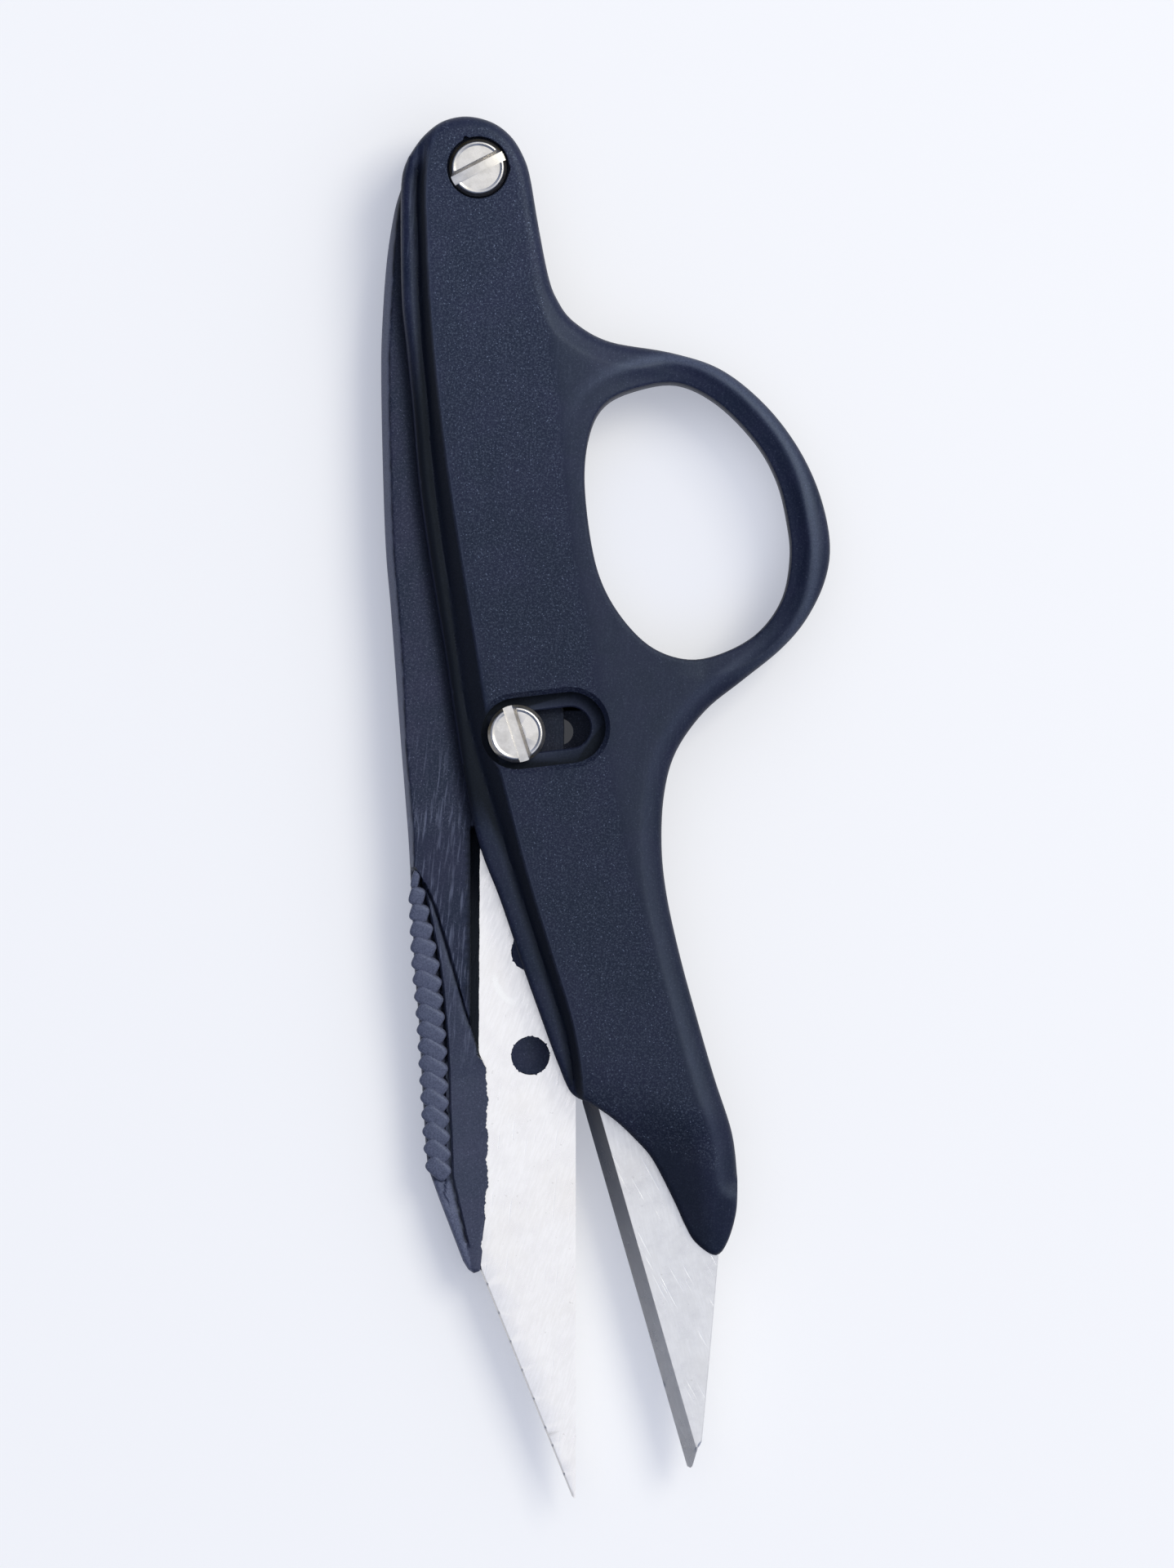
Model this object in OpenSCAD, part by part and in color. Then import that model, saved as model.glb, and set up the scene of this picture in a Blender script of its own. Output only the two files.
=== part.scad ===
// Thread snips: a ring handle and a sprung thumb lever, each with a moulded-in
// steel blade, turning on one slotted screw and stopped by a second screw in a slot.
// Origin: pivot axis on the resting plane. +Y points away from the blades, +Z up.

/* [Layers] */
// Plastic under the lower blade
lever_base_t = 3; // [2.4:0.1:4]
// Thickness of each blade
blade_t = 1.4; // [1:0.1:2]
// Gap between the two blades where they shear
shear_gap = 0.08; // [0.05:0.01:0.2]
// Height of the lever arm above the lower blade
arm_rise = 2; // [1.6:0.1:3]
// Gap between the lever arm and the ring handle's roof
slide_gap = 0.3; // [0.2:0.05:0.6]
// Roof left under each screw head
ledge_t = 1.2; // [0.9:0.1:2]
// Height of the raised panel above the handle's rounded edge
panel_rise = 1.3; // [1:0.1:1.4]
// Thickness of the plastic film that laps over the lower blade
lap_t = 0.3; // [0.2:0.05:0.6]

/* [Ring handle] */
// Width of the finger opening
ring_w = 18.6; // [16:0.2:22]
// Height of the finger opening
ring_h = 24.9; // [22:0.2:28]
// Width of the bar round the finger opening
ring_bar = 3.8; // [3:0.1:5]
// Distance from the pivot to the beak over the upper blade
beak_l = 98.1; // [92:0.5:106]
// Plastic left over the blade at the beak's tip
beak_tip_t = 0.8; // [0.6:0.05:1.2]
// Rounding of the handle's edges
edge_r = 1.2; // [0.6:0.1:1.3]
// Width of the sloping band round the panel
panel_slope = 1; // [0.6:0.1:1.4]

/* [Thumb lever] */
// Distance from the pivot to the lever's pointed end
lever_l = 99.8; // [96:0.5:104]
// Rounding of the lever's edges
lever_r = 0.7; // [0.4:0.1:0.8]
// Number of ribs on the thumb rest
rib_count = 19; // [8:1:19]
// Spacing of the ribs
rib_pitch = 1.5; // [1.3:0.05:1.5]
// Distance from the pivot to the first rib
rib_start = 63.4; // [62:0.2:65]
// How far the ribs stand out of the lever's edge
rib_out = 0.35; // [0.2:0.05:0.6]

/* [Blades] */
// Distance from the pivot to the lower blade's tip
lower_tip = 120.35; // [114:0.5:126]
// Distance from the pivot to the upper blade's tip
upper_tip = 117.3; // [112:0.5:123]
// Distance of the lower cutting edge from the pivot's centre line
edge_x = 8.8; // [8.4:0.1:9.4]
// Width of the ground bevel behind each cutting edge
bevel_w = 1.25; // [0.8:0.05:1.8]
// Flat left at the cutting edge
edge_land = 0.15; // [0.1:0.05:0.4]
// Diameter of the holes that key the blades into the plastic
key_d = 3.5; // [2.5:0.1:4]

/* [Screws] */
// Diameter of the screw heads
head_d = 5.2; // [4.4:0.1:5.8]
// Height of the screw heads
head_h = 1.6; // [1.2:0.1:2]
// Diameter of the plain shank under each head
shank_d = 3.4; // [3.1:0.1:4]
// Diameter of the threaded end
thread_d = 3; // [2:0.1:3]
// Outer diameter of the brass inserts
insert_d = 4.8; // [4.2:0.1:5.2]
// Width of the driver slots
driver_w = 0.9; // [0.6:0.05:1.2]
// Depth of the driver slots
driver_deep = 0.9; // [0.5:0.05:1.1]
// Radial clearance of the pivot screw in its bore
pivot_clear = 0.05; // [0.02:0.01:0.1]
// Radial clearance of the guide screw in its slot
guide_clear = 0.17; // [0.1:0.01:0.3]
// Radial clearance round the pivot screw's head
head_clear = 0.25; // [0.15:0.05:0.4]
// Width of the ledge either side of the guide slot
guide_ledge = 1.35; // [1.25:0.05:1.7]
// Distance from the pivot to the guide screw
guide_reach = 51.1; // [49:0.1:53]
// Angle by which the lever closes
swing = 5.44; // [5.1:0.02:5.6]

/* [Spring] */
// Plastic left between the guide insert and the spring's seat
seat_wall = 0.4; // [0.3:0.05:0.8]
// Outer diameter of the spring
spring_d = 3.4; // [2.6:0.1:3.6]
// Diameter of the spring wire
wire_d = 0.45; // [0.3:0.05:0.55]
// Number of coils
coils = 6.5; // [4:0.5:7]
// Radial clearance of the spring in its seats
seat_clear = 0.25; // [0.15:0.05:0.35]
// Depth of the spring's seat in the lever
lever_seat = 2.2; // [1.5:0.1:2.6]
// Depth of the spring's seat in the ring handle
handle_seat = 3.4; // [2:0.1:3.8]

/* [Hidden] */
$fn = 64;
far = 60;

blade_top = lever_base_t + blade_t;
upper_z = blade_top + shear_gap;
arm_top = blade_top + arm_rise;
roof_z = arm_top + slide_gap;
ledge_z = roof_z + ledge_t;
head_gap = 0.08;
panel_z = ledge_z + head_gap + head_h;
body_z = panel_z - panel_rise;

// Clearance of the moving pieces inside the ring handle's cavity
sweep_clear = 0.4;
// Clearance at a seat that two pieces of one body share
seat_gap = 0.1;

// ---------- curves ----------
function catmull(a, b, c, d, t) =
    0.5 * ((2 * b) + (c - a) * t + (2 * a - 5 * b + 4 * c - d) * t * t
           + (3 * b - a - 3 * c + d) * t * t * t);

// Smooth curve through the points, without its last point
function curve(p, n = 2) =
    let (m = len(p) - 1)
    [for (i = [0:m - 1]) for (k = [0:n - 1])
        catmull(p[max(i - 1, 0)], p[i], p[i + 1], p[min(i + 2, m)], k / n)];

// Smooth closed curve through the points
function loop(p, n = 2) =
    let (m = len(p))
    [for (i = [0:m - 1]) for (k = [0:n - 1])
        catmull(p[(i + m - 1) % m], p[i], p[(i + 1) % m], p[(i + 2) % m], k / n)];

function unit(v) = v / norm(v);
function right_of(v) = [v.y, -v.x];

// Outline moved outwards by d; the outline runs anticlockwise
function grown(p, d) =
    let (m = len(p))
    [for (i = [0:m - 1])
        let (n0 = right_of(unit(p[i] - p[(i + m - 1) % m])),
             n1 = right_of(unit(p[(i + 1) % m] - p[i])))
        p[i] + d * (n0 + n1) / max(1 + n0 * n1, 0.5)];

// Levels [z, inset] of a slab with bevelled edges, run past both of its faces
function bevelled(z0, z1, r) =
    [[z0 - 1, r], [z0, r], [z0 + r, 0], [z1 - r, 0], [z1, r], [z1 + 1, r]];

function turned(p, a) = [p.x * cos(a) - p.y * sin(a), p.x * sin(a) + p.y * cos(a)];

// Solid through the levels of an outline
module slab(outline, levels) {
    m = len(outline);
    top = (len(levels) - 1) * m;
    polyhedron(
        points = [for (l = levels) for (p = grown(outline, -l[1])) [p.x, p.y, l[0]]],
        faces = concat(
            [[for (i = [0:m - 1]) i]],
            [[for (i = [0:m - 1]) top + m - 1 - i]],
            [for (k = [0:len(levels) - 2]) for (i = [0:m - 1])
                [k * m + i, (k + 1) * m + i, (k + 1) * m + (i + 1) % m]],
            [for (k = [0:len(levels) - 2]) for (i = [0:m - 1])
                [k * m + i, (k + 1) * m + (i + 1) % m, k * m + (i + 1) % m]]));
}

// What lies between two heights
module between(z0, z1) {
    intersection() {
        children();
        translate([-far, -3 * far, z0]) cube([2 * far, 4 * far, z1 - z0]);
    }
}

module prism(outline, z0, z1) {
    translate([0, 0, z0]) linear_extrude(z1 - z0) polygon(outline);
}

// Band along an arc about the pivot, with round ends
function arc_slot(reach, angle, sweep, width, n = 10) =
    let (r = width / 2,
         ends = [reach * [cos(angle), sin(angle)],
                 reach * [cos(angle + sweep), sin(angle + sweep)]])
    concat([for (i = [0:n]) let (a = angle + 180 + 180 * i / n) ends[0] + r * [cos(a), sin(a)]],
        [for (i = [0:n]) let (a = angle + sweep + 180 * i / n) ends[1] + r * [cos(a), sin(a)]]);

// ---------- moving places ----------
guide_angle = -86.1;
guide_at = guide_reach * [cos(guide_angle), sin(guide_angle)];
slot_w = shank_d + 2 * guide_clear;
recess_w = slot_w + 2 * guide_ledge;

seat_d = spring_d + 2 * seat_clear;
spring_z = arm_top / 2;
spring_y = guide_at.y + insert_d / 2 + seat_wall + seat_d / 2;
// Edge of the lever arm and wall of the cavity beside the spring
lever_face_x = 7.2;
wall_face_x = lever_face_x * cos(swing) - spring_y * sin(swing) + sweep_clear;
spring_x0 = lever_face_x - lever_seat;
spring_x1 = wall_face_x + handle_seat;

// ---------- outlines ----------
// The finger opening starts level with the spring's seat and grows away from it and the lever
opening_x = 9.6;
opening_y = spring_y + seat_d / 2;
ring_c = [opening_x + ring_w / 2, opening_y + ring_h / 2];
function on_opening(u, v) = ring_c + [u * ring_w / 2, v * ring_h / 2];
function on_ring(u, v) = ring_c + [u * (ring_w / 2 + ring_bar), v * (ring_h / 2 + ring_bar)];

opening = [on_opening(-0.1, 1), on_opening(-0.5, 0.96), on_opening(-0.8, 0.85),
    on_opening(-0.95, 0.64), on_opening(-1, 0.3), on_opening(-0.93, -0.18),
    on_opening(-0.8, -0.5), on_opening(-0.56, -0.77), on_opening(-0.28, -0.94),
    on_opening(0.07, -1), on_opening(0.44, -0.92), on_opening(0.73, -0.77),
    on_opening(0.93, -0.54), on_opening(1, -0.25), on_opening(0.97, 0),
    on_opening(0.87, 0.3), on_opening(0.66, 0.58), on_opening(0.29, 0.86)];

beak_y = -beak_l;
handle_left = [[-6.3, 1], [-6.9, -0.9], [-7, -5.4], [-6.9, -12], [-6.5, -16], [-5.9, -22],
    [-5.4, -28], [-4.6, -34], [-3.8, -39], [-2.9, -44.3], [-2.1, -49.8], [-1.25, -55],
    [0.1, -61], [2, -66], [4.1, -72.2], [5.6, -76.4], [7.1, -80.5], [8.4, -83.4], [10, -84.2]];
handle_beak = [[10, -84.2], [12.3, beak_y + 12.3], [14.3, beak_y + 10.4],
    [15.8, beak_y + 8.6], [17.7, beak_y + 4.9], [18.6, beak_y + 2.9], [19.6, beak_y + 1.2],
    [21.4, beak_y], [22.5, beak_y + 1.2], [23.3, beak_y + 4], [23.4, beak_y + 7]];
handle_right = [[23.4, beak_y + 7], [22.9, -87], [21.3, -82], [19.7, -76.5], [18.2, -71],
    [17, -65.5], [16.55, -61], [16.8, opening_y - 12], [17.9, opening_y - 8.2],
    [20.5, opening_y - 4.6], on_ring(0.38, -0.88), on_ring(0.64, -0.71), on_ring(0.82, -0.54), on_ring(0.95, -0.32),
    on_ring(0.98, -0.1), on_ring(0.9, 0.18), on_ring(0.74, 0.44), on_ring(0.51, 0.67),
    on_ring(0.22, 0.85), on_ring(-0.12, 0.94), on_ring(-0.54, 1), [8.6, -13.8], [7.1, -11.8],
    [6.3, -9.6], [5.4, -5], [4.7, -0.9], [4.1, 1], [3, 2.8], [1.3, 4.1], [-1, 4.65],
    [-3.2, 4.2], [-5, 2.8], [-6.3, 1]];
handle_outline = concat(curve(handle_left), curve(handle_beak), curve(handle_right));

panel_outline = concat(
    curve([[-4.9, -1], [-4.5, -5], [-4.3, -12.5], [-3.8, -18], [-3, -22], [-2.2, -30],
        [-1.3, -36], [0.3, -46], [1.4, -54], [3.1, -60], [4.4, -65.4], [6.1, -69.8],
        [7.6, -73.5], [8.8, -78], [9.6, -83.6]]),
    curve([[9.6, -83.6], [12.6, beak_y + 13.6], [15.2, beak_y + 11.4], [17.6, beak_y + 8],
        [19.6, beak_y + 4]]),
    curve([[19.6, beak_y + 4], [21.4, beak_y + 4], [21.3, beak_y + 6.5], [20.3, -86],
        [18.6, -81], [16, -71], [13.6, -62.5], [11.7, -54], [10.3, -44], [8.6, -35],
        [7.8, -28], [7, -20], [6.2, -14], [5, -6], [4.1, -1.2], [3.3, 1.2], [1.6, 3],
        [-0.7, 3.7], [-2.9, 3], [-4.4, 1.2], [-4.9, -1]]));

lever_y = -lever_l;
lever_left = [[-6.4, 0.6], [-6.9, -1.4], [-7.6, -3.8], [-8.3, -8.3], [-8.7, -14], [-8.8, -18],
    [-8.7, -25], [-8.4, -34], [-7.9, -40], [-7.1, -50.7], [-6.6, -57], [-6.3, -61], [-6, -67],
    [-5.8, -72], [-5.4, -77], [-5.1, -83], [-4.8, -88], [-4.6, -90.2]];
lever_toe = [[-4.6, -90.2], [-3.6, -93], [-1.4, lever_y + 1.1], [-0.4, lever_y]];
lever_heel = [[-0.4, lever_y], [0.5, -95], [3.5, -90.5], [7, -84.5]];
// Foot of the lever that shows through the guide slot, with a hole for the mould's pin
arm_x = guide_at.x + 4.2;
foot = [[arm_x, guide_at.y - 3.6], [arm_x + 2.5, guide_at.y - 3], [arm_x + 2.9, guide_at.y - 0.5],
    [arm_x + 2.5, guide_at.y + 1.7], [arm_x, guide_at.y + 1.7]];
foot_hole_d = 2.4;
foot_hole = [arm_x - 0.3, guide_at.y + 0.2];
lever_right = [[7, -84.5], [7.2, -75], [7.3, -66], [7.4, -60], foot[0]];
arm_right = [foot[4], [7.1, -46], [5.8, -38], [4.7, -28], [4.2, -14], [4.3, -3]];
lever_eye = [[4.3, -3], [4.2, -0.5], [3.5, 1.6], [1.9, 3.4], [-0.6, 4.3], [-3, 3.9],
    [-5.2, 2.6], [-6.4, 0.6]];
lever_outline = concat(curve(lever_left), curve(lever_toe, 1), curve(lever_heel, 1),
    curve(lever_right), curve(foot, 1), curve(arm_right), curve(lever_eye));

// Right edge of the arm's upper half, from the guide screw down to the lapped edge of the blade
arm_neck = [[20, guide_at.y + 2.7], [arm_x, guide_at.y + 2.2], [arm_x, guide_at.y - 3],
    [4.4, -58], [0.4, -61], [0.1, -79.8], [0.8, -81.5], [0.8, -91.3]];

// Where the arm gives way to the flat lap beside the thumb rest
lap_area = [[-2.8, -67], [-0.5, -79.9], [2, -79.9], [9, -79.9], [9, lever_y - 1],
    [-1, lever_y - 1], [-1.6, lever_y + 3.4], [-2.9, -91.5]];

blade_root_y = -61.4;
lower_outline = [[edge_x, blade_root_y - 1.1], [edge_x - 1.2, blade_root_y], [-1.6, blade_root_y],
    [-2.6, blade_root_y - 2.6], [-2.6, -92.6], [0.3, lever_y],
    [edge_x - 0.35, 0.4 - lower_tip], [edge_x, -lower_tip]];
lower_keys = [[4.7, -80.1], [4.7, -70.7]];

upper_edge_x = 9.4;
upper_point = [18.9, -upper_tip];
upper_outline = [[upper_edge_x, -84.3], upper_point, [19.3, -upper_tip - 0.1], [19.8, 1.7 - upper_tip],
    [20.2, 2.3 - upper_tip], [21.1, -105.2], [21.7, beak_y], [21.4, beak_y + 3.5], [15, -83],
    [14.2, -67], [13.4, -66], [upper_edge_x + 0.8, -66], [upper_edge_x, -67]];
upper_keys = [[11.8, -71.5], [12.2, -80.5]];

// ---------- cavities ----------
// Inner wall of the ring handle's cavity: the lever's edge at the end of its swing
function swept(edge) = [for (p = edge) turned(p, swing) + [sweep_clear, 0]];
eye_room = [[12, -13], [12, far]];
foot_room = [for (i = [0:4]) foot[i] + [0.1, i < 2 ? -sweep_clear : i > 2 ? sweep_clear : 0]];
arm_cavity = concat([[-far, far], [-far, -far * 2], [upper_edge_x - 0.1, -far * 2]],
    [for (i = [len(arm_neck) - 1:-1:1]) swept(arm_neck)[i]],
    swept([for (i = [1:4]) arm_right[i]]), eye_room);
wall_end_y = -90;
base_cavity = concat([[-far, far], [-far, -far * 2], [far, -far * 2], [far, wall_end_y]],
    swept([[edge_x, wall_end_y], [edge_x, blade_root_y + 0.6], [edge_x - 0.6, blade_root_y + 0.9]]),
    swept(foot_room), swept([for (i = [1:4]) arm_right[i]]), eye_room);

// ---------- ring handle ----------
// Block above the sloping top of the beak
module beak_slope() {
    start = 84.5;
    fall = atan2(panel_z - upper_z - blade_t - beak_tip_t, beak_l - start);
    translate([0, -start, panel_z]) rotate([fall, 0, 0]) translate([0, -far, 0])
        cube([far, far, far / 4]);
}

module opening_tool() {
    slab(loop(opening), [for (l = bevelled(0, body_z, edge_r)) [l[0], -l[1]]]);
}

module ring_handle() {
    color([0.09, 0.1, 0.13]) {
        difference() {
            union() {
                between(0, body_z) slab(handle_outline, bevelled(0, body_z, edge_r));
                between(0, panel_z) slab(panel_outline,
                    [[body_z - 1, 0], [body_z, 0], [panel_z, panel_slope], [panel_z + 1, panel_slope]]);
            }
            opening_tool();
            beak_slope();
            prism(arm_cavity, -1, roof_z);
            prism(base_cavity, -2, upper_z);
            prism(upper_outline, -2, upper_z + blade_t);
            translate([0, 0, roof_z - 1])
                cylinder(d = shank_d + 2 * pivot_clear, h = panel_z);
            translate([0, 0, ledge_z]) cylinder(d = head_d + 2 * head_clear, h = panel_z);
            prism(arc_slot(guide_reach, guide_angle, swing, slot_w), roof_z - 1, far);
            prism(arc_slot(guide_reach, guide_angle, swing, recess_w), ledge_z, far);
            translate([wall_face_x - 3, spring_y, spring_z]) rotate([0, 90, 0])
                cylinder(d = seat_d, h = handle_seat + 3);
        }
        for (p = upper_keys) translate([p.x, p.y, upper_z]) cylinder(d = key_d, h = blade_t + 0.5);
    }
}

// ---------- thumb lever ----------
module ribs() {
    rib_r = rib_pitch * 0.56;
    edge = [for (p = concat(lever_left, lever_toe)) [p.y, p.x]];
    for (i = [0:rib_count - 1]) {
        y = -rib_start - rib_pitch * (i + 0.5);
        translate([lookup(y, edge) + rib_r - rib_out, y, lever_r])
            cylinder(r = rib_r, h = arm_top - 2 * lever_r);
    }
}

module thumb_lever() {
    color([0.12, 0.13, 0.17]) {
        difference() {
            union() {
                between(0, arm_top) slab(lever_outline, bevelled(0, arm_top, lever_r));
                ribs();
            }
            // room over the bare blade, then over the lapped edge
            prism(concat(arm_neck, [[0.2, lever_y + 1.2], [0.2, -far * 2], [far, -far * 2],
                [far, arm_neck[0].y]]), lever_base_t, far);
            translate([foot_hole.x, foot_hole.y, -1])
                cylinder(d = foot_hole_d, h = lever_base_t + 1);
            prism(lap_area, blade_top + lap_t, far);
            prism(lower_outline, lever_base_t, blade_top);
            translate([0, 0, -1]) cylinder(d = insert_d, h = far);
            translate([guide_at.x, guide_at.y, -1]) cylinder(d = insert_d, h = far);
            translate([spring_x0, spring_y, spring_z]) rotate([0, 90, 0])
                cylinder(d = seat_d, h = lever_seat + 3);
        }
        for (p = lower_keys) translate([p.x, p.y, lever_base_t - 0.5])
            cylinder(d = key_d, h = blade_t + 0.5);
    }
}

// ---------- blades ----------
// Cutter that grinds a bevel along the edge from a to b, on its left
module bevel(a, b, z_thin, up) {
    depth = blade_t - edge_land;
    run = norm(b - a);
    translate([a.x, a.y, z_thin]) rotate([0, 0, atan2(b.y - a.y, b.x - a.x)])
        rotate([90, 0, 90]) translate([0, 0, -far])
        linear_extrude(run + 2 * far)
            polygon([[-5, 0], [0, 0], [bevel_w, up * depth], [bevel_w, up * 5], [-5, up * 5]]);
}

module upper_blade() {
    color([0.86, 0.86, 0.88]) difference() {
        prism(upper_outline, upper_z, upper_z + blade_t);
        bevel(upper_outline[0], upper_point, upper_z + edge_land, 1);
        for (p = upper_keys) translate([p.x, p.y, 0]) cylinder(d = key_d, h = panel_z);
    }
}

module lower_blade() {
    color([0.88, 0.88, 0.9]) difference() {
        prism(lower_outline, lever_base_t, blade_top);
        bevel([edge_x, -lower_tip], lower_outline[0], blade_top - edge_land, -1);
        for (p = lower_keys) translate([p.x, p.y, 0]) cylinder(d = key_d, h = panel_z);
    }
}

// ---------- screws and inserts ----------
insert_floor = 0.8;
insert_top = arm_top - 0.4;
module screw(tip_z, driver_angle) {
    chamfer = 0.3;
    color([0.75, 0.75, 0.77]) difference() {
        rotate_extrude() polygon([[0, tip_z], [thread_d / 2 - 0.3, tip_z],
            [thread_d / 2, tip_z + 0.3], [thread_d / 2, insert_top + seat_gap],
            [shank_d / 2, insert_top + seat_gap], [shank_d / 2, ledge_z + head_gap],
            [head_d / 2, ledge_z + head_gap], [head_d / 2, panel_z - chamfer],
            [head_d / 2 - chamfer, panel_z], [0, panel_z]]);
        rotate([0, 0, driver_angle]) translate([-head_d, -driver_w / 2, panel_z - driver_deep])
            cube([2 * head_d, driver_w, head_h]);
    }
}

module insert() {
    color([0.72, 0.6, 0.35]) rotate_extrude() polygon([[0, 0], [insert_d / 2, 0],
        [insert_d / 2, insert_top], [thread_d / 2, insert_top],
        [thread_d / 2, insert_floor], [0, insert_floor]]);
}

module pivot_screw() {
    screw(insert_floor + 0.3, 27);
}

module guide_screw() {
    translate([guide_at.x, guide_at.y, 0]) screw(insert_floor + 0.3, 108);
}

module pivot_insert() {
    insert();
}

module guide_insert() {
    translate([guide_at.x, guide_at.y, 0]) insert();
}

// ---------- return spring ----------
wire_sides = 6;
rings_per_coil = 8;
coil_r = (spring_d - wire_d) / 2;
end_coil = 0.75;
spring_len = spring_x1 - spring_x0 - wire_d - 2 * seat_gap;
ring_count = round(coils * rings_per_coil);
// Advance along the axis: end coils lie flat, the rest climb evenly
function advance(c) =
    let (flat_rise = wire_d * 1.25 * end_coil,
         open = coils - 2 * end_coil)
    c < end_coil ? wire_d * 1.25 * c
    : c > coils - end_coil ? spring_len - wire_d * 1.25 * (coils - c)
    : flat_rise + (spring_len - 2 * flat_rise) * (c - end_coil) / open;
function coil_point(c) = [spring_x0 + seat_gap + wire_d / 2 + advance(c),
    spring_y + coil_r * cos(360 * c), spring_z + coil_r * sin(360 * c)];
coil_path = [for (i = [0:ring_count]) coil_point(coils * i / ring_count)];

function wire_ring(i) =
    let (p = coil_path[i], c = coils * i / ring_count,
         ahead = unit(coil_path[min(i + 1, ring_count)] - coil_path[max(i - 1, 0)]),
         out = [0, cos(360 * c), sin(360 * c)],
         side = cross(ahead, out))
    [for (k = [0:wire_sides - 1]) let (a = 360 * k / wire_sides)
        p + wire_d / 2 * (cos(a) * out + sin(a) * unit(side))];

module return_spring() {
    m = wire_sides;
    last = ring_count * m;
    color([0.7, 0.7, 0.72]) polyhedron(
        points = [for (i = [0:ring_count]) for (q = wire_ring(i)) q],
        faces = concat([[for (k = [0:m - 1]) m - 1 - k]], [[for (k = [0:m - 1]) last + k]],
            [for (i = [0:ring_count - 1]) for (k = [0:m - 1])
                [i * m + k, i * m + (k + 1) % m, (i + 1) * m + k]],
            [for (i = [0:ring_count - 1]) for (k = [0:m - 1])
                [i * m + (k + 1) % m, (i + 1) * m + (k + 1) % m, (i + 1) * m + k]]));
    gaps = [for (i = [0:ring_count - rings_per_coil]) norm(coil_path[i + rings_per_coil]
        - coil_path[i]) - wire_d];
    echo(least_gap_between_coils = min(gaps));
}

ring_handle();
thumb_lever();
upper_blade();
lower_blade();
pivot_screw();
guide_screw();
pivot_insert();
guide_insert();
return_spring();
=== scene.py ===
import math

import bmesh
import bpy
import numpy as np
from mathutils import Matrix, Vector
from mathutils.geometry import delaunay_2d_cdt


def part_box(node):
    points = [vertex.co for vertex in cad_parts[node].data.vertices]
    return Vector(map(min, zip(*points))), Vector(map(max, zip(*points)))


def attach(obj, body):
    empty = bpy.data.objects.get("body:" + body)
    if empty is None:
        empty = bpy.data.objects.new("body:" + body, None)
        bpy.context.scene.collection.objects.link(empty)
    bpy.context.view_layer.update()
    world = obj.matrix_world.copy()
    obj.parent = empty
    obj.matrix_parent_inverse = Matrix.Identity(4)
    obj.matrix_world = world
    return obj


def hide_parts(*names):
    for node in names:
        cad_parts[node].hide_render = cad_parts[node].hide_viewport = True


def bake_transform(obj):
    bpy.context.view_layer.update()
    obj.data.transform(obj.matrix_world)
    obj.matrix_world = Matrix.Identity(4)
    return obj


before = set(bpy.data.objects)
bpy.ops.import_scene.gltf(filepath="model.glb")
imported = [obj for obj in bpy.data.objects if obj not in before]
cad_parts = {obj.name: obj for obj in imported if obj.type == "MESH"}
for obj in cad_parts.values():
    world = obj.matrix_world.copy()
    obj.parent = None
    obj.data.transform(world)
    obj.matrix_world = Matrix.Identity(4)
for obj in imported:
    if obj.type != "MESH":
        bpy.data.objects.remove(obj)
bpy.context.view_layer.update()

# Thread snips lying flat: a ring handle and a sprung thumb lever, each with a moulded-in
# blade, on one pivot screw. Shapes are worked out in millimetres, with the pivot axis at
# the origin and the resting plane at z = 0, and meshes are made in metres.
MM = 0.001


def box_mm(node):
    low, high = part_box(node)
    return np.array(low) / MM, np.array(high) / MM


def smooth(t):
    t = np.clip(t, 0, 1)
    return t * t * (3 - 2 * t)


def hill(d, width):
    """1 where d is 0, falling off on both sides over about the width"""
    return np.exp(-(d / width) ** 2)


# ---------- sizes taken from the frame ----------
lower_box, upper_box = box_mm("lower_blade"), box_mm("upper_blade")
lever_box, handle_box = box_mm("thumb_lever"), box_mm("ring_handle")
screw_box, guide_box = box_mm("pivot_screw"), box_mm("guide_screw")
insert_box, spring_box = box_mm("pivot_insert"), box_mm("return_spring")

BASE_TOP, BLADE_TOP = lower_box[0][2], lower_box[1][2]
UPPER_Z, UPPER_TOP = upper_box[0][2], upper_box[1][2]
ARM_TOP = lever_box[1][2]
PANEL_Z = handle_box[1][2]
HEAD_R = screw_box[1][0]
GUIDE_AT = (guide_box[0][:2] + guide_box[1][:2]) / 2
INSERT_R, INSERT_TOP = insert_box[1][0], insert_box[1][2]
EDGE_X = lower_box[1][0]
LOWER_TIP, UPPER_TIP = lower_box[0][1], upper_box[0][1]
BEAK_Y, LEVER_Y = handle_box[0][1], lever_box[0][1]

# ---------- sizes of the moulded parts ----------
SLIDE_GAP, LEDGE_T, BEAD_DROP = 0.3, 1.2, 1.42
ROOF_Z = ARM_TOP + SLIDE_GAP
LEDGE_Z = ROOF_Z + LEDGE_T
BEAD_Z = PANEL_Z - BEAD_DROP
SWING = math.radians(5.44)
SWEEP_CLEAR, PIVOT_CLEAR = 0.4, 0.05
HEAD_CLEAR, HEAD_GAP = 0.2, 0.08
SHANK_D, THREAD_R = 3.4, 1.5
SLOT_W, RECESS_W = 3.74, 6.44
RING_W, RING_H, RING_BAR = 18.6, 24.9, 3.8
RING_C = np.array([18.9, -31.85])
CREST_D = 1.75
BEVEL_W, EDGE_LAND = 1.25, 0.15
KEY_D = 3.5
LAP_T = 0.3
SPRING_Y, SPRING_Z = (spring_box[0][1:] + spring_box[1][1:]) / 2
SEAT_ROOM, SEAT_GAP = 0.25, 0.1
SEAT_R = (spring_box[1][2] - spring_box[0][2]) / 2 + SEAT_ROOM
LEVER_FACE_X, WALL_FACE_X = 7.2, 11.97
LEVER_SEAT, HANDLE_SEAT, SEAT_MOUTH = 2.2, 3.4, 3


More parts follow.
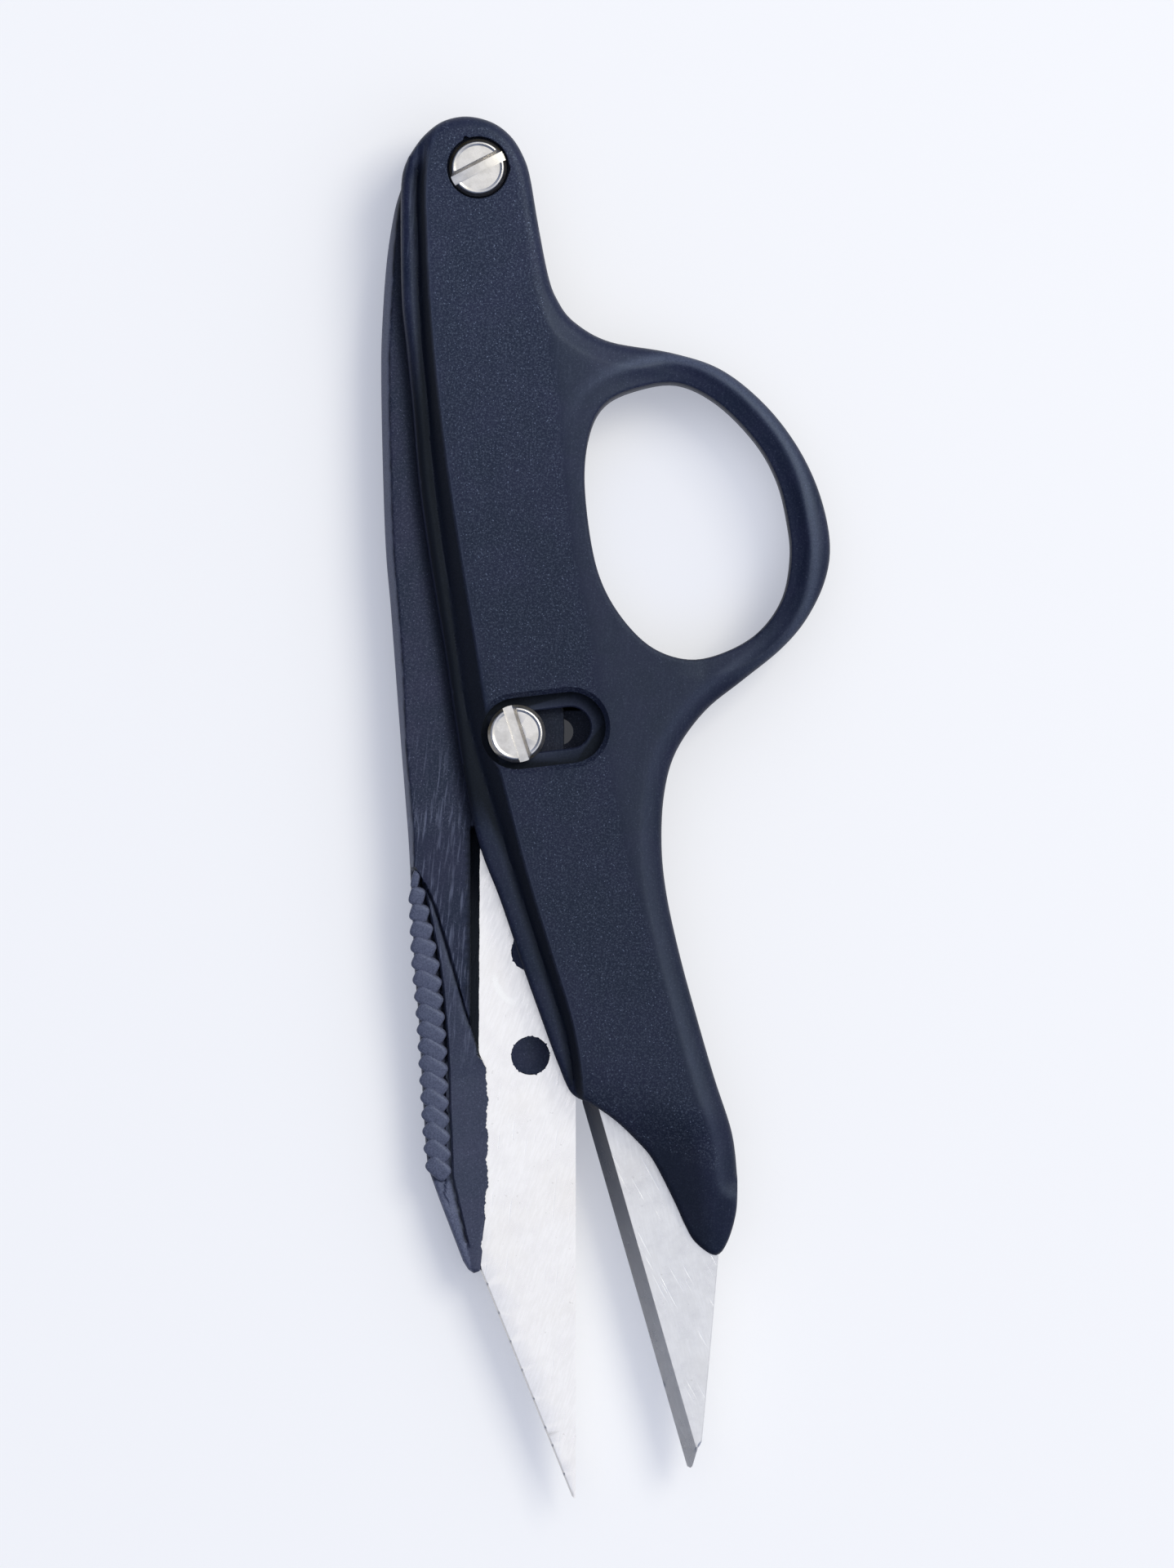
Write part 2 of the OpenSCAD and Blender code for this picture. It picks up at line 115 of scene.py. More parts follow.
# ---------- plane curves ----------
def curve(points, n=6):
    """Smooth curve through the points, without its last point"""
    p = np.array(points, float)
    q = np.vstack([p[0], p, p[-1]])
    t = np.arange(n)[:, None] / n
    spans = []
    for a, b, c, d in zip(q, q[1:], q[2:], q[3:]):
        spans.append(0.5 * (2 * b + (c - a) * t + (2 * a - 5 * b + 4 * c - d) * t * t
                            + (3 * b - a - 3 * c + d) * t ** 3))
    return np.vstack(spans)


def loop(points):
    """Smooth closed curve through the points"""
    p = np.array(points, float)
    n = 6
    return curve(np.vstack([p[-1], p, p[0], p[1]]), n)[n:-n]


def resample(path, step, closed=True):
    """The path in equal steps of about the given length"""
    p = np.vstack([path, path[:1]]) if closed else np.array(path, float)
    along = np.concatenate([[0], np.cumsum(np.linalg.norm(np.diff(p, axis=0), axis=1))])
    count = max(2, round(along[-1] / step))
    at = np.linspace(0, along[-1], count + 1)
    if closed:
        at = at[:-1]
    return np.column_stack([np.interp(at, along, p[:, k]) for k in (0, 1)])


def grown(path, d):
    """Closed path moved outwards by d; the path runs anticlockwise"""
    before = path - np.roll(path, 1, axis=0)
    after = np.roll(path, -1, axis=0) - path
    normals = [np.column_stack([v[:, 1], -v[:, 0]]) / np.linalg.norm(v, axis=1)[:, None]
               for v in (before, after)]
    dot = (normals[0] * normals[1]).sum(1)
    return path + d * (normals[0] + normals[1]) / np.maximum(1 + dot, 0.5)[:, None]


def distance(points, path, closed=True):
    """Distance of each point from the path"""
    a = np.asarray(path, float)
    b = np.roll(a, -1, axis=0) if closed else a[1:]
    a = a if closed else a[:-1]
    best = np.full(len(points), 1e9)
    for start in range(0, len(points), 4000):
        p = points[start:start + 4000, None, :]
        ab = (b - a)[None]
        t = np.clip(((p - a[None]) * ab).sum(2) / np.maximum((ab * ab).sum(2), 1e-12), 0, 1)
        best[start:start + 4000] = np.linalg.norm(p - a[None] - t[..., None] * ab, axis=2).min(1)
    return best


def from_line(points, path):
    """Distance of each point from an open path"""
    return distance(points, path, closed=False)


def inside(points, path):
    """Whether each point lies within the closed path"""
    x, y = points[:, 0], points[:, 1]
    hit = np.zeros(len(points), bool)
    for (ax, ay), (bx, by) in zip(path, np.roll(path, -1, axis=0)):
        if ay != by:
            crosses = (ay > y) != (by > y)
            hit ^= crosses & (x < ax + (y - ay) * (bx - ax) / (by - ay))
    return hit


def circle(centre, radius, n=48):
    a = np.arange(n) * 2 * math.pi / n
    return np.column_stack([centre[0] + radius * np.cos(a), centre[1] + radius * np.sin(a)])


def turned(points, angle):
    c, s = math.cos(angle), math.sin(angle)
    return np.asarray(points, float) @ np.array([[c, s], [-s, c]])


def swept(points):
    """Where an edge of the lever comes to when it closes, with its clearance"""
    return turned(points, SWING) + [SWEEP_CLEAR, 0]


def arc_slot(reach, angle, sweep, width):
    """Band along an arc about the pivot, with round ends"""
    ends, steps = [], 16
    for start, middle in ((angle + math.pi, angle), (angle + sweep, angle + sweep)):
        a = start + np.arange(steps + 1) * math.pi / steps
        ends.append(np.column_stack([reach * math.cos(middle) + width / 2 * np.cos(a),
                                     reach * math.sin(middle) + width / 2 * np.sin(a)]))
    return np.vstack(ends)


# ---------- outlines ----------
def on_opening(u, v):
    return list(RING_C + [u * RING_W / 2, v * RING_H / 2])


def on_ring(u, v):
    return list(RING_C + [u * (RING_W / 2 + RING_BAR), v * (RING_H / 2 + RING_BAR)])


opening = loop([on_opening(u, v) for u, v in (
    (-0.1, 1), (-0.5, 0.96), (-0.8, 0.85), (-0.95, 0.64), (-1, 0.3), (-0.93, -0.18),
    (-0.8, -0.5), (-0.56, -0.77), (-0.28, -0.94), (0.07, -1), (0.44, -0.92), (0.73, -0.77),
    (0.93, -0.54), (1, -0.25), (0.97, 0), (0.87, 0.3), (0.66, 0.58), (0.29, 0.86))])

handle_left = curve([
    [-6.3, 1], [-6.9, -0.9], [-7, -5.4], [-6.9, -12], [-6.5, -16], [-5.9, -22], [-5.4, -28],
    [-4.6, -34], [-3.8, -39], [-2.9, -44.3], [-2.1, -49.8], [-1.25, -55], [0.1, -61], [2, -66],
    [4.1, -72.2], [5.6, -76.4], [7.1, -80.5], [8.4, -83.4], [10, -84.2]])
handle_beak = curve([
    [10, -84.2], [12.3, BEAK_Y + 12.3], [14.3, BEAK_Y + 10.4], [15.8, BEAK_Y + 8.6],
    [17.7, BEAK_Y + 4.9], [18.6, BEAK_Y + 2.9], [19.6, BEAK_Y + 1.2], [21.4, BEAK_Y],
    [22.5, BEAK_Y + 1.2], [23.3, BEAK_Y + 4], [23.4, BEAK_Y + 7]])
handle_right = curve([
    [23.4, BEAK_Y + 7], [22.9, -87], [21.3, -82], [19.7, -76.5], [18.2, -71], [17, -65.5],
    [16.55, -61], [16.8, -56.3], [17.9, -52.5], [20.5, -48.9], on_ring(0.38, -0.88),
    on_ring(0.64, -0.71), on_ring(0.82, -0.54), on_ring(0.95, -0.32), on_ring(0.98, -0.1),
    on_ring(0.9, 0.18), on_ring(0.74, 0.44), on_ring(0.51, 0.67), on_ring(0.22, 0.85),
    on_ring(-0.12, 0.94), [11.8, -15.6], [8.6, -13.8], [7.1, -11.8], [6.3, -9.6], [5.4, -5],
    [4.7, -0.9], [4.1, 1], [3, 2.8], [1.3, 4.1], [-1, 4.65], [-3.2, 4.2], [-5, 2.8],
    [-6.3, 1]])
handle_outline = np.vstack([handle_left, handle_beak, handle_right])

# left brink of the raised panel, and the panel's soft right edge
brink = curve([
    [-2.9, 5.2], [-3.6, 3.6], [-4.35, 1.4], [-4.65, -1.5], [-4.55, -6], [-4.2, -13],
    [-3.55, -20], [-2.6, -27.5], [-1.45, -35], [-0.2, -42.5], [1.05, -50], [2.8, -57],
    [4.65, -64], [6.8, -71], [8.35, -76], [9.2, -80], [9.6, -84], [9.75, -87]], 8)
west_of_brink = np.vstack([brink, [[-40, -87], [-40, 5.2]]])
panel_right = curve([
    [23, BEAK_Y + 2], [22, BEAK_Y + 8], [20.3, -86], [18.6, -81], [16, -71], [13.6, -62.5],
    [11.7, -54], [10.3, -44], [8.6, -35], [7.8, -28], [7, -20], [6.2, -14], [5, -6],
    [4.1, -1.2], [3.3, 1.2], [1.6, 3], [-0.7, 3.7], [-3, 3.4]])
panel_outline = np.vstack([brink, [[9.75, BEAK_Y - 5], [23, BEAK_Y - 5]], panel_right])

lever_left = curve([
    [-6.4, 0.6], [-6.9, -1.4], [-7.6, -3.8], [-8.3, -8.3], [-8.7, -14], [-8.8, -18],
    [-8.7, -25], [-8.4, -34], [-7.9, -40], [-7.1, -50.7], [-6.6, -57], [-6.3, -61], [-6, -67],
    [-5.8, -72], [-5.4, -77], [-5.1, -83], [-4.8, -88], [-4.6, -90.2]])
lever_toe = np.array([[-4.6, -90.2], [-3.6, -93], [-1.4, LEVER_Y + 1.1], [-0.9, LEVER_Y + 0.3],
                      [-0.4, LEVER_Y]])
ARM_X = GUIDE_AT[0] + 4.2
foot = np.array([ARM_X, GUIDE_AT[1]]) + [[0, -3.6], [2.5, -3], [2.9, -0.5], [2.5, 2.1],
                                         [0, 2.1]]
foot_hole = (ARM_X - 0.3, GUIDE_AT[1] + 0.2)
FOOT_HOLE_R = 1.2
arm_right = [foot[4], [7.1, -46], [5.8, -38], [4.7, -28], [4.2, -14], [4.3, -3]]
lever_outline = np.vstack([
    lever_left, lever_toe, [[0.15, LEVER_Y + 0.25], [0.65, -95], [3.5, -90.5]],
    curve([[7, -84.5], [7.2, -75], [7.3, -66], [7.4, -60], foot[0]]), foot[:-1],
    curve(arm_right),
    curve([[4.3, -3], [4.2, -0.5], [3.5, 1.6], [1.9, 3.4], [-0.6, 4.3], [-3, 3.9],
           [-5.2, 2.6], [-6.4, 0.6]])])
arm_neck = [[20, GUIDE_AT[1] + 2.7], [ARM_X, GUIDE_AT[1] + 2.2], [ARM_X, GUIDE_AT[1] - 3],
            [4.4, -58], [0.4, -61], [0.1, -79.8], [0.8, -81.5], [0.8, -91.3]]

ROOT_Y = -61.4
lower_outline = np.array([
    [EDGE_X, ROOT_Y - 1.1], [EDGE_X - 1.2, ROOT_Y], [-1.6, ROOT_Y], [-2.6, ROOT_Y - 2.6],
    [-2.6, -92.6], [0.3, LEVER_Y], [EDGE_X - 0.35, LOWER_TIP + 0.4], [EDGE_X, LOWER_TIP]])
lower_keys = [[4.7, -80.1], [4.7, -70.7]]
UPPER_EDGE_X = 9.4
upper_edge = np.array([[UPPER_EDGE_X, -84.3], [18.9, UPPER_TIP + 0.1]])
upper_outline = np.array([
    *upper_edge, [19.3, UPPER_TIP], [19.8, UPPER_TIP + 1.8], [20.2, UPPER_TIP + 2.4],
    [21.1, -105.2], [21.7, BEAK_Y], [21.4, BEAK_Y + 3.5], [15, -83], [14.2, -67],
    [13.4, -66], [UPPER_EDGE_X + 0.8, -66], [UPPER_EDGE_X, -67]])
upper_keys = [[11.8, -71.5], [12.2, -80.5]]

FAR = 60
eye_room = [[12, -13], [12, FAR]]
foot_room = foot + [[0.1, -SWEEP_CLEAR], [0.1, -SWEEP_CLEAR], [0.1, 0], [0.1, SWEEP_CLEAR],
                    [0.1, SWEEP_CLEAR]]
arm_cavity = np.vstack([
    [[-FAR, FAR], [-FAR, -2 * FAR], [UPPER_EDGE_X - 0.1, -2 * FAR]],
    swept(arm_neck[:0:-1]), swept(arm_right[1:5]), eye_room])
WALL_END_Y = -90
base_cavity = np.vstack([
    [[-FAR, FAR], [-FAR, -2 * FAR], [FAR, -2 * FAR], [FAR, WALL_END_Y]],
    swept([[EDGE_X, WALL_END_Y], [EDGE_X, ROOT_Y + 0.6], [EDGE_X - 0.6, ROOT_Y + 0.9]]),
    swept(foot_room), swept(arm_right[1:5]), eye_room])


# ---------- meshes ----------
def linked(name, data):
    """A new object in the scene"""
    made = bpy.data.objects.new(name, data)
    bpy.context.scene.collection.objects.link(made)
    return made


def new_object(name, vertices, faces):
    """A mesh object from points in millimetres"""
    mesh = bpy.data.meshes.new(name)
    mesh.from_pydata((np.asarray(vertices, float) * MM).tolist(), [],
                     [list(map(int, f)) for f in faces])
    mesh.validate()
    return linked(name, mesh)


def set_down(piece, at, turn=0, axis="Z"):
    """Turns the piece's mesh about an axis, then moves it by millimetres"""
    piece.data.transform(Matrix.Translation(Vector(at) * MM) @ Matrix.Rotation(turn, 4, axis))


def stacked(name, levels):
    """Closed solid through loops of points at rising heights: [(z, loop), ...]"""
    m = len(levels[0][1])
    vertices = np.vstack([np.column_stack([p, np.full(m, z)]) for z, p in levels])
    faces = [list(range(m))[::-1], [m * (len(levels) - 1) + i for i in range(m)]]
    for k in range(len(levels) - 1):
        for i in range(m):
            j = (i + 1) % m
            faces.append([k * m + i, k * m + j, (k + 1) * m + j, (k + 1) * m + i])
    return new_object(name, vertices, faces)


def prism(name, outline, z0, z1):
    return stacked(name, [(z0, outline), (z1, outline)])


def mouth_cutter(name, outline, z0, z1, flare):
    """Cutter whose mouth at height z1 is chamfered by flare"""
    return stacked(name, [(z0, outline), (z1 - flare, outline), (z1, grown(outline, flare)),
                          (z1 + 2, grown(outline, flare + 2))])


def along_x(name, x0, x1, y, z, radius):
    """Cylinder that lies along X"""
    made = prism(name, circle((0, 0), radius, 40), 0, x1 - x0)
    set_down(made, (x0, y, z), math.pi / 2, "Y")
    return made


def evaluated(piece):
    """Makes the piece's modifiers final"""
    graph = bpy.context.evaluated_depsgraph_get()
    mesh = bpy.data.meshes.new_from_object(piece.evaluated_get(graph))
    piece.modifiers.clear()
    piece.data = mesh
    return piece


def cut(piece, *cutters):
    """Takes the cutters away from the piece"""
    for cutter in cutters:
        step = piece.modifiers.new("cut", "BOOLEAN")
        step.operation = "DIFFERENCE"
        step.solver = "MANIFOLD"
        step.object = cutter
    evaluated(piece)
    for cutter in cutters:
        bpy.data.objects.remove(cutter)
    return piece


def hex_grid(path, spacing):
    """Points in staggered rows over the path's box"""
    low, high = path.min(0), path.max(0)
    rows = []
    for k, y in enumerate(np.arange(low[1], high[1], spacing * 0.866)):
        x = np.arange(low[0] + (k % 2) * spacing / 2, high[0], spacing)
        rows.append(np.column_stack([x, np.full(len(x), y)]))
    return np.vstack(rows)


def beside(path, d):
    """An open path moved by d to its left"""
    run = np.gradient(path, axis=0)
    run /= np.linalg.norm(run, axis=1)[:, None]
    return path + d * np.column_stack([-run[:, 1], run[:, 0]])


def shell(name, outline, top, bottom, holes=(), *, depths, lines, rows=(), spacing,
          step=0.35):
    """Closed solid between two height fields over an outline with holes.
    depths are the insets at which rows of points follow the edges, rows are more such
    rows, and lines are creases that the faces keep to."""
    loops = [resample(outline, step)] + [resample(h, step) for h in holes]

    def within(q):
        keep = inside(q, loops[0])
        for hole in loops[1:]:
            keep &= ~inside(q, hole)
        return keep

    points, links = [], []
    for p, closed in [(p, True) for p in loops] + [(np.array(p), False) for p in lines]:
        first = sum(len(q) for q in points)
        points.append(p)
        count = len(p) if closed else len(p) - 1
        links += [(first + i, first + (i + 1) % len(p)) for i in range(count)]
    loose = [(r, 0.07) for r in rows]
    for d in depths:
        for k, p in enumerate(loops):
            ring = grown(p, -d if k == 0 else d)
            loose.append((ring[distance(ring, p) > 0.96 * d], 0.05))
    loose.append((hex_grid(outline, spacing), 0.5 * spacing))
    kept = np.vstack(points)
    for more, gap in loose:
        more = more[within(more)]
        kept = np.vstack([kept, more[clear_of(more, kept, gap)]])
    flat, _, triangles, *_ = delaunay_2d_cdt([Vector(p) for p in kept.tolist()], links, [], 0,
                                             1e-5)
    at = np.array([list(p) for p in flat])
    triangles = np.array(triangles)
    keep = within(at[triangles].mean(1))
    used, triangles = np.unique(triangles[keep], return_inverse=True)
    triangles, at = triangles.reshape(-1, 3), at[used]
    n = len(at)
    edges = {(a, b) for t in triangles.tolist() for a, b in zip(t, t[1:] + t[:1])}
    rim = sorted((a, b) for a, b in edges if (b, a) not in edges)
    vertices = np.vstack([np.column_stack([at, top(at)]), np.column_stack([at, bottom(at)])])
    faces = triangles.tolist() + (triangles[:, ::-1] + n).tolist()
    faces += [[a, a + n, b + n, b] for a, b in rim]
    return new_object(name, vertices, faces)


def clear_of(points, others, gap):
    """Whether each point is at least gap from every one of the others"""
    taken = set()
    size = max(gap, 1e-6)
    for cx, cy in np.floor(others / size).astype(int).tolist():
        taken.update((cx + i, cy + j) for i in (-1, 0, 1) for j in (-1, 0, 1))
    keep = []
    for cx, cy in np.floor(points / size).astype(int).tolist():
        keep.append((cx, cy) not in taken)
        taken.update([(cx, cy)])
    return np.array(keep, bool)


def lathe(name, profile, n, at):
    """Closed solid turned about an upright axis; the profile is [(radius, z), ...] upwards"""
    vertices, rows = [], []
    for r, z in profile:
        rows.append(len(vertices))
        count = 1 if r == 0 else n
        for i in range(count):
            a = 2 * math.pi * i / n
            vertices.append((at[0] + r * math.cos(a), at[1] + r * math.sin(a), z))
    faces = []
    for k in range(len(profile) - 1):
        for i in range(n):
            j = (i + 1) % n
            low = [rows[k]] if profile[k][0] == 0 else [rows[k] + i, rows[k] + j]
            high = [rows[k + 1]] if profile[k + 1][0] == 0 else [rows[k + 1] + j,
                                                                 rows[k + 1] + i]
            faces.append(low + high)
    return new_object(name, vertices, faces)


def rounded_off(d, r):
    """How far a surface lies below its level at distance d from an edge of radius r"""
    t = np.clip(1 - d / r, 0, 1)
    return r * (1 - np.sqrt(1 - t * t))


# ---------- finishes ----------
def add_node(tree, kind, settings=None, inputs=None):
    """Adds a node, with its inputs linked or set, and gives its outputs"""
    made = tree.nodes.new(kind)
    for name, value in (settings or {}).items():
        setattr(made, name, value)
    for name, value in (inputs or {}).items():
        if isinstance(value, bpy.types.NodeSocket):
            tree.links.new(value, made.inputs[name])
        else:
            made.inputs[name].default_value = value
    return made.outputs


def maths(operation, backwards=False):
    """A method of Wire that adds a Math node to its values"""
    def method(self, *others):
        values = (self, *others)[::-1] if backwards else (self, *others)
        return self.finish.node("ShaderNodeMath", {"operation": operation},
                                dict(enumerate(values)))
    return method


class Wire:
    """An output socket of a finish; arithmetic on it adds Math nodes"""

    def __init__(self, finish, socket):
        self.finish, self.socket = finish, socket

    __add__ = __radd__ = maths("ADD")
    __mul__ = __rmul__ = maths("MULTIPLY")
    __sub__ = maths("SUBTRACT")
    __rsub__ = maths("SUBTRACT", backwards=True)
    __abs__ = maths("ABSOLUTE")

    def above(self, low, high):
        """0 up to low, 1 from high on, and smooth between them"""
        return self.finish.node("ShaderNodeMapRange", {"interpolation_type": "SMOOTHSTEP"},
                                {"Value": self, "From Min": low, "From Max": high})


class Finish:
    """A material and its nodes"""

    def __init__(self, name):
        self.material = bpy.data.materials.new(name)
        self.material.use_nodes = True
        self.tree = self.material.node_tree
        self.tree.nodes.clear()
        self.place = self.node("ShaderNodeTexCoord", output="Object")

    def node(self, kind, settings=None, inputs=None, output=0):
        inputs = {name: value.socket if isinstance(value, Wire) else value
                  for name, value in (inputs or {}).items()}
        outputs = add_node(self.tree, kind, settings, inputs)
        return Wire(self, outputs[output]) if outputs else None

    def moved(self, turn, scale):
        """Object coordinates turned about Z, then scaled"""
        turned_place = self.node("ShaderNodeMapping", {},
                                 {"Vector": self.place, "Rotation": (0, 0, turn)})
        return self.node("ShaderNodeMapping", {}, {"Vector": turned_place, "Scale": scale})

    def noise(self, scale, detail, place=None, rough=0.5):
        return self.node("ShaderNodeTexNoise", {},
                         {"Vector": place or self.place, "Scale": scale, "Detail": detail,
                          "Roughness": rough})

    def away(self, centre):
        """Distance from a point given in millimetres, in metres"""
        return self.node("ShaderNodeVectorMath", {"operation": "DISTANCE"},
                         {0: self.place, 1: [c * MM for c in centre]}, output="Value")

    def mask(self, name):
        return self.node("ShaderNodeAttribute", {"attribute_name": name}, output="Fac")

    def mix(self, factor, a, b):
        """Colour a where factor is 0, b where it is 1"""
        return self.node("ShaderNodeMix", {"data_type": "RGBA"},
                         {0: factor, 6: rgba(a), 7: rgba(b)}, output=2)

    def surface(self, colour, roughness, height, constants):
        """Ends the material in a surface with these varying inputs and constants"""
        relief = self.node("ShaderNodeBump", {}, {"Height": height, "Distance": 1.0})
        return self.finished(self.node(
            "ShaderNodeBsdfPrincipled", {},
            {"Base Color": colour, "Roughness": roughness, "Normal": relief, **constants}))

    def finished(self, shader):
        self.node("ShaderNodeOutputMaterial", {}, {"Surface": shader})
        return self.material


def rgba(colour):
    """The colour with an alpha of 1, unless it is a Wire or has one"""
    return colour if isinstance(colour, Wire) or len(colour) == 4 else (*colour, 1.0)


def moulded_nylon(name, tone, light):
    """Nylon with a spark-eroded texture where the piece's attribute "sparked" is 1.
    A wear-and-highlight attribute rubs the skin light, as real wear and as a painted highlight,
    and a painted-shade attribute darkens it with painted shade."""
    f = Finish(name)
    sparked, worn, soiled = f.mask("sparked"), f.mask("worn"), f.mask("soiled")
    grain_size = 0.15 * MM
    cloud = f.noise(260, 4)
    grain = f.noise(1 / grain_size, 3, rough=0.65)
    # the light flecks and sparks are painted glints of the spark-eroded texture
    fleck = f.noise(0.8 / grain_size, 2, rough=0.75).above(0.45, 0.68)
    spark = f.noise(1.1 / grain_size, 0, f.moved(1, (1, 1, 1))).above(0.72, 0.82)
    streak = f.noise(1, 3, f.moved(0.1, (4300, 330, 900))).above(0.5, 0.7)
    colour = f.mix(cloud.above(0.3, 0.7), tone, [1.6 * tone[0], 1.25 * tone[1], 1.3 * tone[2]])
    colour = f.mix(fleck * (0.06 + 0.6 * sparked), colour, [0.42 * c for c in light])
    colour = f.mix(spark * (0.05 + 0.75 * sparked), colour, light)
    # lightened as rubbed wear, and in places as a painted highlight
    colour = f.mix(worn * (0.55 + 0.45 * grain.above(0.35, 0.65)), colour, light)
    colour = f.mix(streak * (0.03 + 0.38 * f.mask("scuffed")), colour, light)
    # painted shade: darkens the skin where the piece's shade attribute is 1
    colour = f.mix(soiled * (0.7 + 0.6 * grain), colour, [0.12 * c for c in tone])
    roughness = 0.44 + 0.05 * sparked + 0.16 * (grain - 0.5) + 0.08 * (cloud - 0.5)
    height = (grain * (0.002 + 0.012 * sparked) + cloud * 0.01
              - streak * f.mask("scuffed") * 0.02) * MM
    return f.surface(colour, roughness + 0.25 * soiled, height,
                     {"Specular IOR Level": 0.26, "Specular Tint": (0.66, 0.8, 1, 1)})


def ground_steel(name, tone, dark, angle, smear=None):
    """Steel with short grinding strokes at an angle to Y, smudges and a few scratches;
    a bevel-shade attribute, up to 1 on the ground bevel, darkens it with painted shade and a
    painted dark reflection. A smear is a bright rubbed arc,
    given by its centre and radius and by the middle of the stretch that shows"""
    f = Finish(name)
    bevelled = f.mask("bevelled")
    stroke = f.noise(1, 3, f.moved(angle, (5200, 700, 3000)), 0.65)
    smudge = f.noise(420, 5, rough=0.7)
    scratch = f.noise(1, 1, f.moved(angle - 0.25, (6500, 190, 900))).above(0.68, 0.75)
    pit = f.noise(2600, 1).above(0.74, 0.8)
    warm = f.noise(110, 2).above(0.45, 0.75)
    colour = f.mix(smudge.above(0.25, 0.6), dark, tone)
    colour = f.mix(stroke.above(0.35, 0.65) * 0.6, colour, [0.9 * c for c in tone])
    colour = f.mix(warm * 0.12, colour, (0.75, 0.66, 0.52))
    colour = f.mix(scratch * 0.35, colour, (0.97, 0.97, 0.97))
    if smear:
        centre, radius, middle = smear
        off = abs(f.away(centre) - radius * MM) + 0.0004 * (smudge - 0.5)
        rubbed = (1 - off.above(0.0001, 0.0004)) * (1 - f.away(middle).above(0.001, 0.0022))
        colour = f.mix(rubbed, colour, (1, 0.985, 0.94))
    colour = f.mix(pit * 0.25, colour, (0.4, 0.38, 0.35))
    # painted shade and a painted dark reflection on the bevel
    colour = f.mix(bevelled, colour, (0.13, 0.125, 0.12))
    roughness = 0.3 + 0.16 * (stroke - 0.5) + 0.14 * (smudge - 0.5)
    height = (stroke * 0.002 - scratch * 0.003) * MM
    return f.surface(colour, roughness, height, {"Metallic": 1.0})


def turned_metal(name, tone, stain):
    """Lathe-turned metal, dark where its stain-and-shade attribute is 1, which holds real
    tarnish and painted shade
    """
    f = Finish(name)
    smudge = f.noise(900, 4, rough=0.6)
    fine = f.noise(6000, 2)
    stained = f.mask("stained")
    colour = f.mix(smudge.above(0.35, 0.7) * 0.8, tone, [0.74 * c for c in tone])
    colour = f.mix(stained * (0.55 + 0.45 * smudge.above(0.35, 0.65)), colour, stain)
    roughness = 0.3 + 0.2 * (smudge - 0.5) + 0.1 * (fine - 0.5) + 0.2 * stained
    height = (fine * 0.002 + smudge * 0.012) * MM
    return f.surface(colour, roughness, height, {"Metallic": 1.0})


handle_nylon = moulded_nylon("handle_nylon", (0.008, 0.012, 0.031), (0.15, 0.185, 0.28))
lever_nylon = moulded_nylon("lever_nylon", (0.0115, 0.0155, 0.033), (0.16, 0.18, 0.27))
lower_steel = ground_steel("lower_blade_steel", (0.99, 0.965, 0.93), (0.93, 0.9, 0.87), 0.35,
                           ((4.4, -72.6, BLADE_TOP), 3, (2, -74.4, BLADE_TOP)))
upper_steel = ground_steel("upper_blade_steel", (0.79, 0.785, 0.78), (0.66, 0.655, 0.66),
                           -0.25)
screw_nickel = turned_metal("screw_nickel", (0.76, 0.73, 0.68), (0.17, 0.14, 0.08))
insert_brass = turned_metal("insert_brass", (0.72, 0.52, 0.25), (0.3, 0.2, 0.1))
spring_wire = turned_metal("spring_wire", (0.6, 0.6, 0.62), (0.3, 0.28, 0.25))


def place_masks(piece, domain="POINT", **masks):
    """Stores a number at each vertex, or face, for the nodes to read by name"""
    for name, values in masks.items():
        held = piece.data.attributes.new(name, "FLOAT", domain)
        held.data.foreach_set("value", np.full(len(held.data), values, np.float32))


def places(piece):
    """The vertices' plane points, xs, ys and zs in millimetres"""
    co = np.empty(len(piece.data.vertices) * 3, np.float32)
    piece.data.vertices.foreach_get("co", co)
    p = co.reshape(-1, 3).astype(float) / MM
    return p[:, :2], p[:, 0], p[:, 1], p[:, 2]


def finish_off(piece, material, body, node=None, sharp=32):
    """Gives a piece its finish and shading, attaches it to its body and hides the part it stands
    for
    """
    piece.data.materials.clear()
    piece.data.materials.append(material)
    piece.data.shade_smooth()
    piece.data.set_sharp_from_angle(angle=math.radians(sharp))
    if body:
        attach(piece, body)
    if node:
        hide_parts(node)


# ---------- ring handle ----------
def down(y, ys, values):
    """Value at y from a list whose ys run down the snips"""
    return np.interp(-y, -np.array(ys, float), values)


def band_width(y):
    """Width of the steep band between the panel's left brink and the bead below it"""
    return down(y, [4, -4, -20, -28, -38, -47, -55, -64, -78, -84],
                [0.7, 0.9, 1.1, 1.4, 1.65, 1.9, 1.65, 1.2, 0.95, 0.8])


def beak_ridge(y):
    """Line down the beak that its top leans away from"""
    return down(y, [-80, -84, -88.5, -96], [17.5, 18.8, 21, 21.8])


def ring_lean(p, a, b):
    """How squarely each point lies on the side (a, b) of the finger opening"""
    u = (p - RING_C) / [RING_W / 2, RING_H / 2]
    return (a * u[:, 0] + b * u[:, 1]) / np.maximum(np.linalg.norm(u, axis=1), 1e-6)


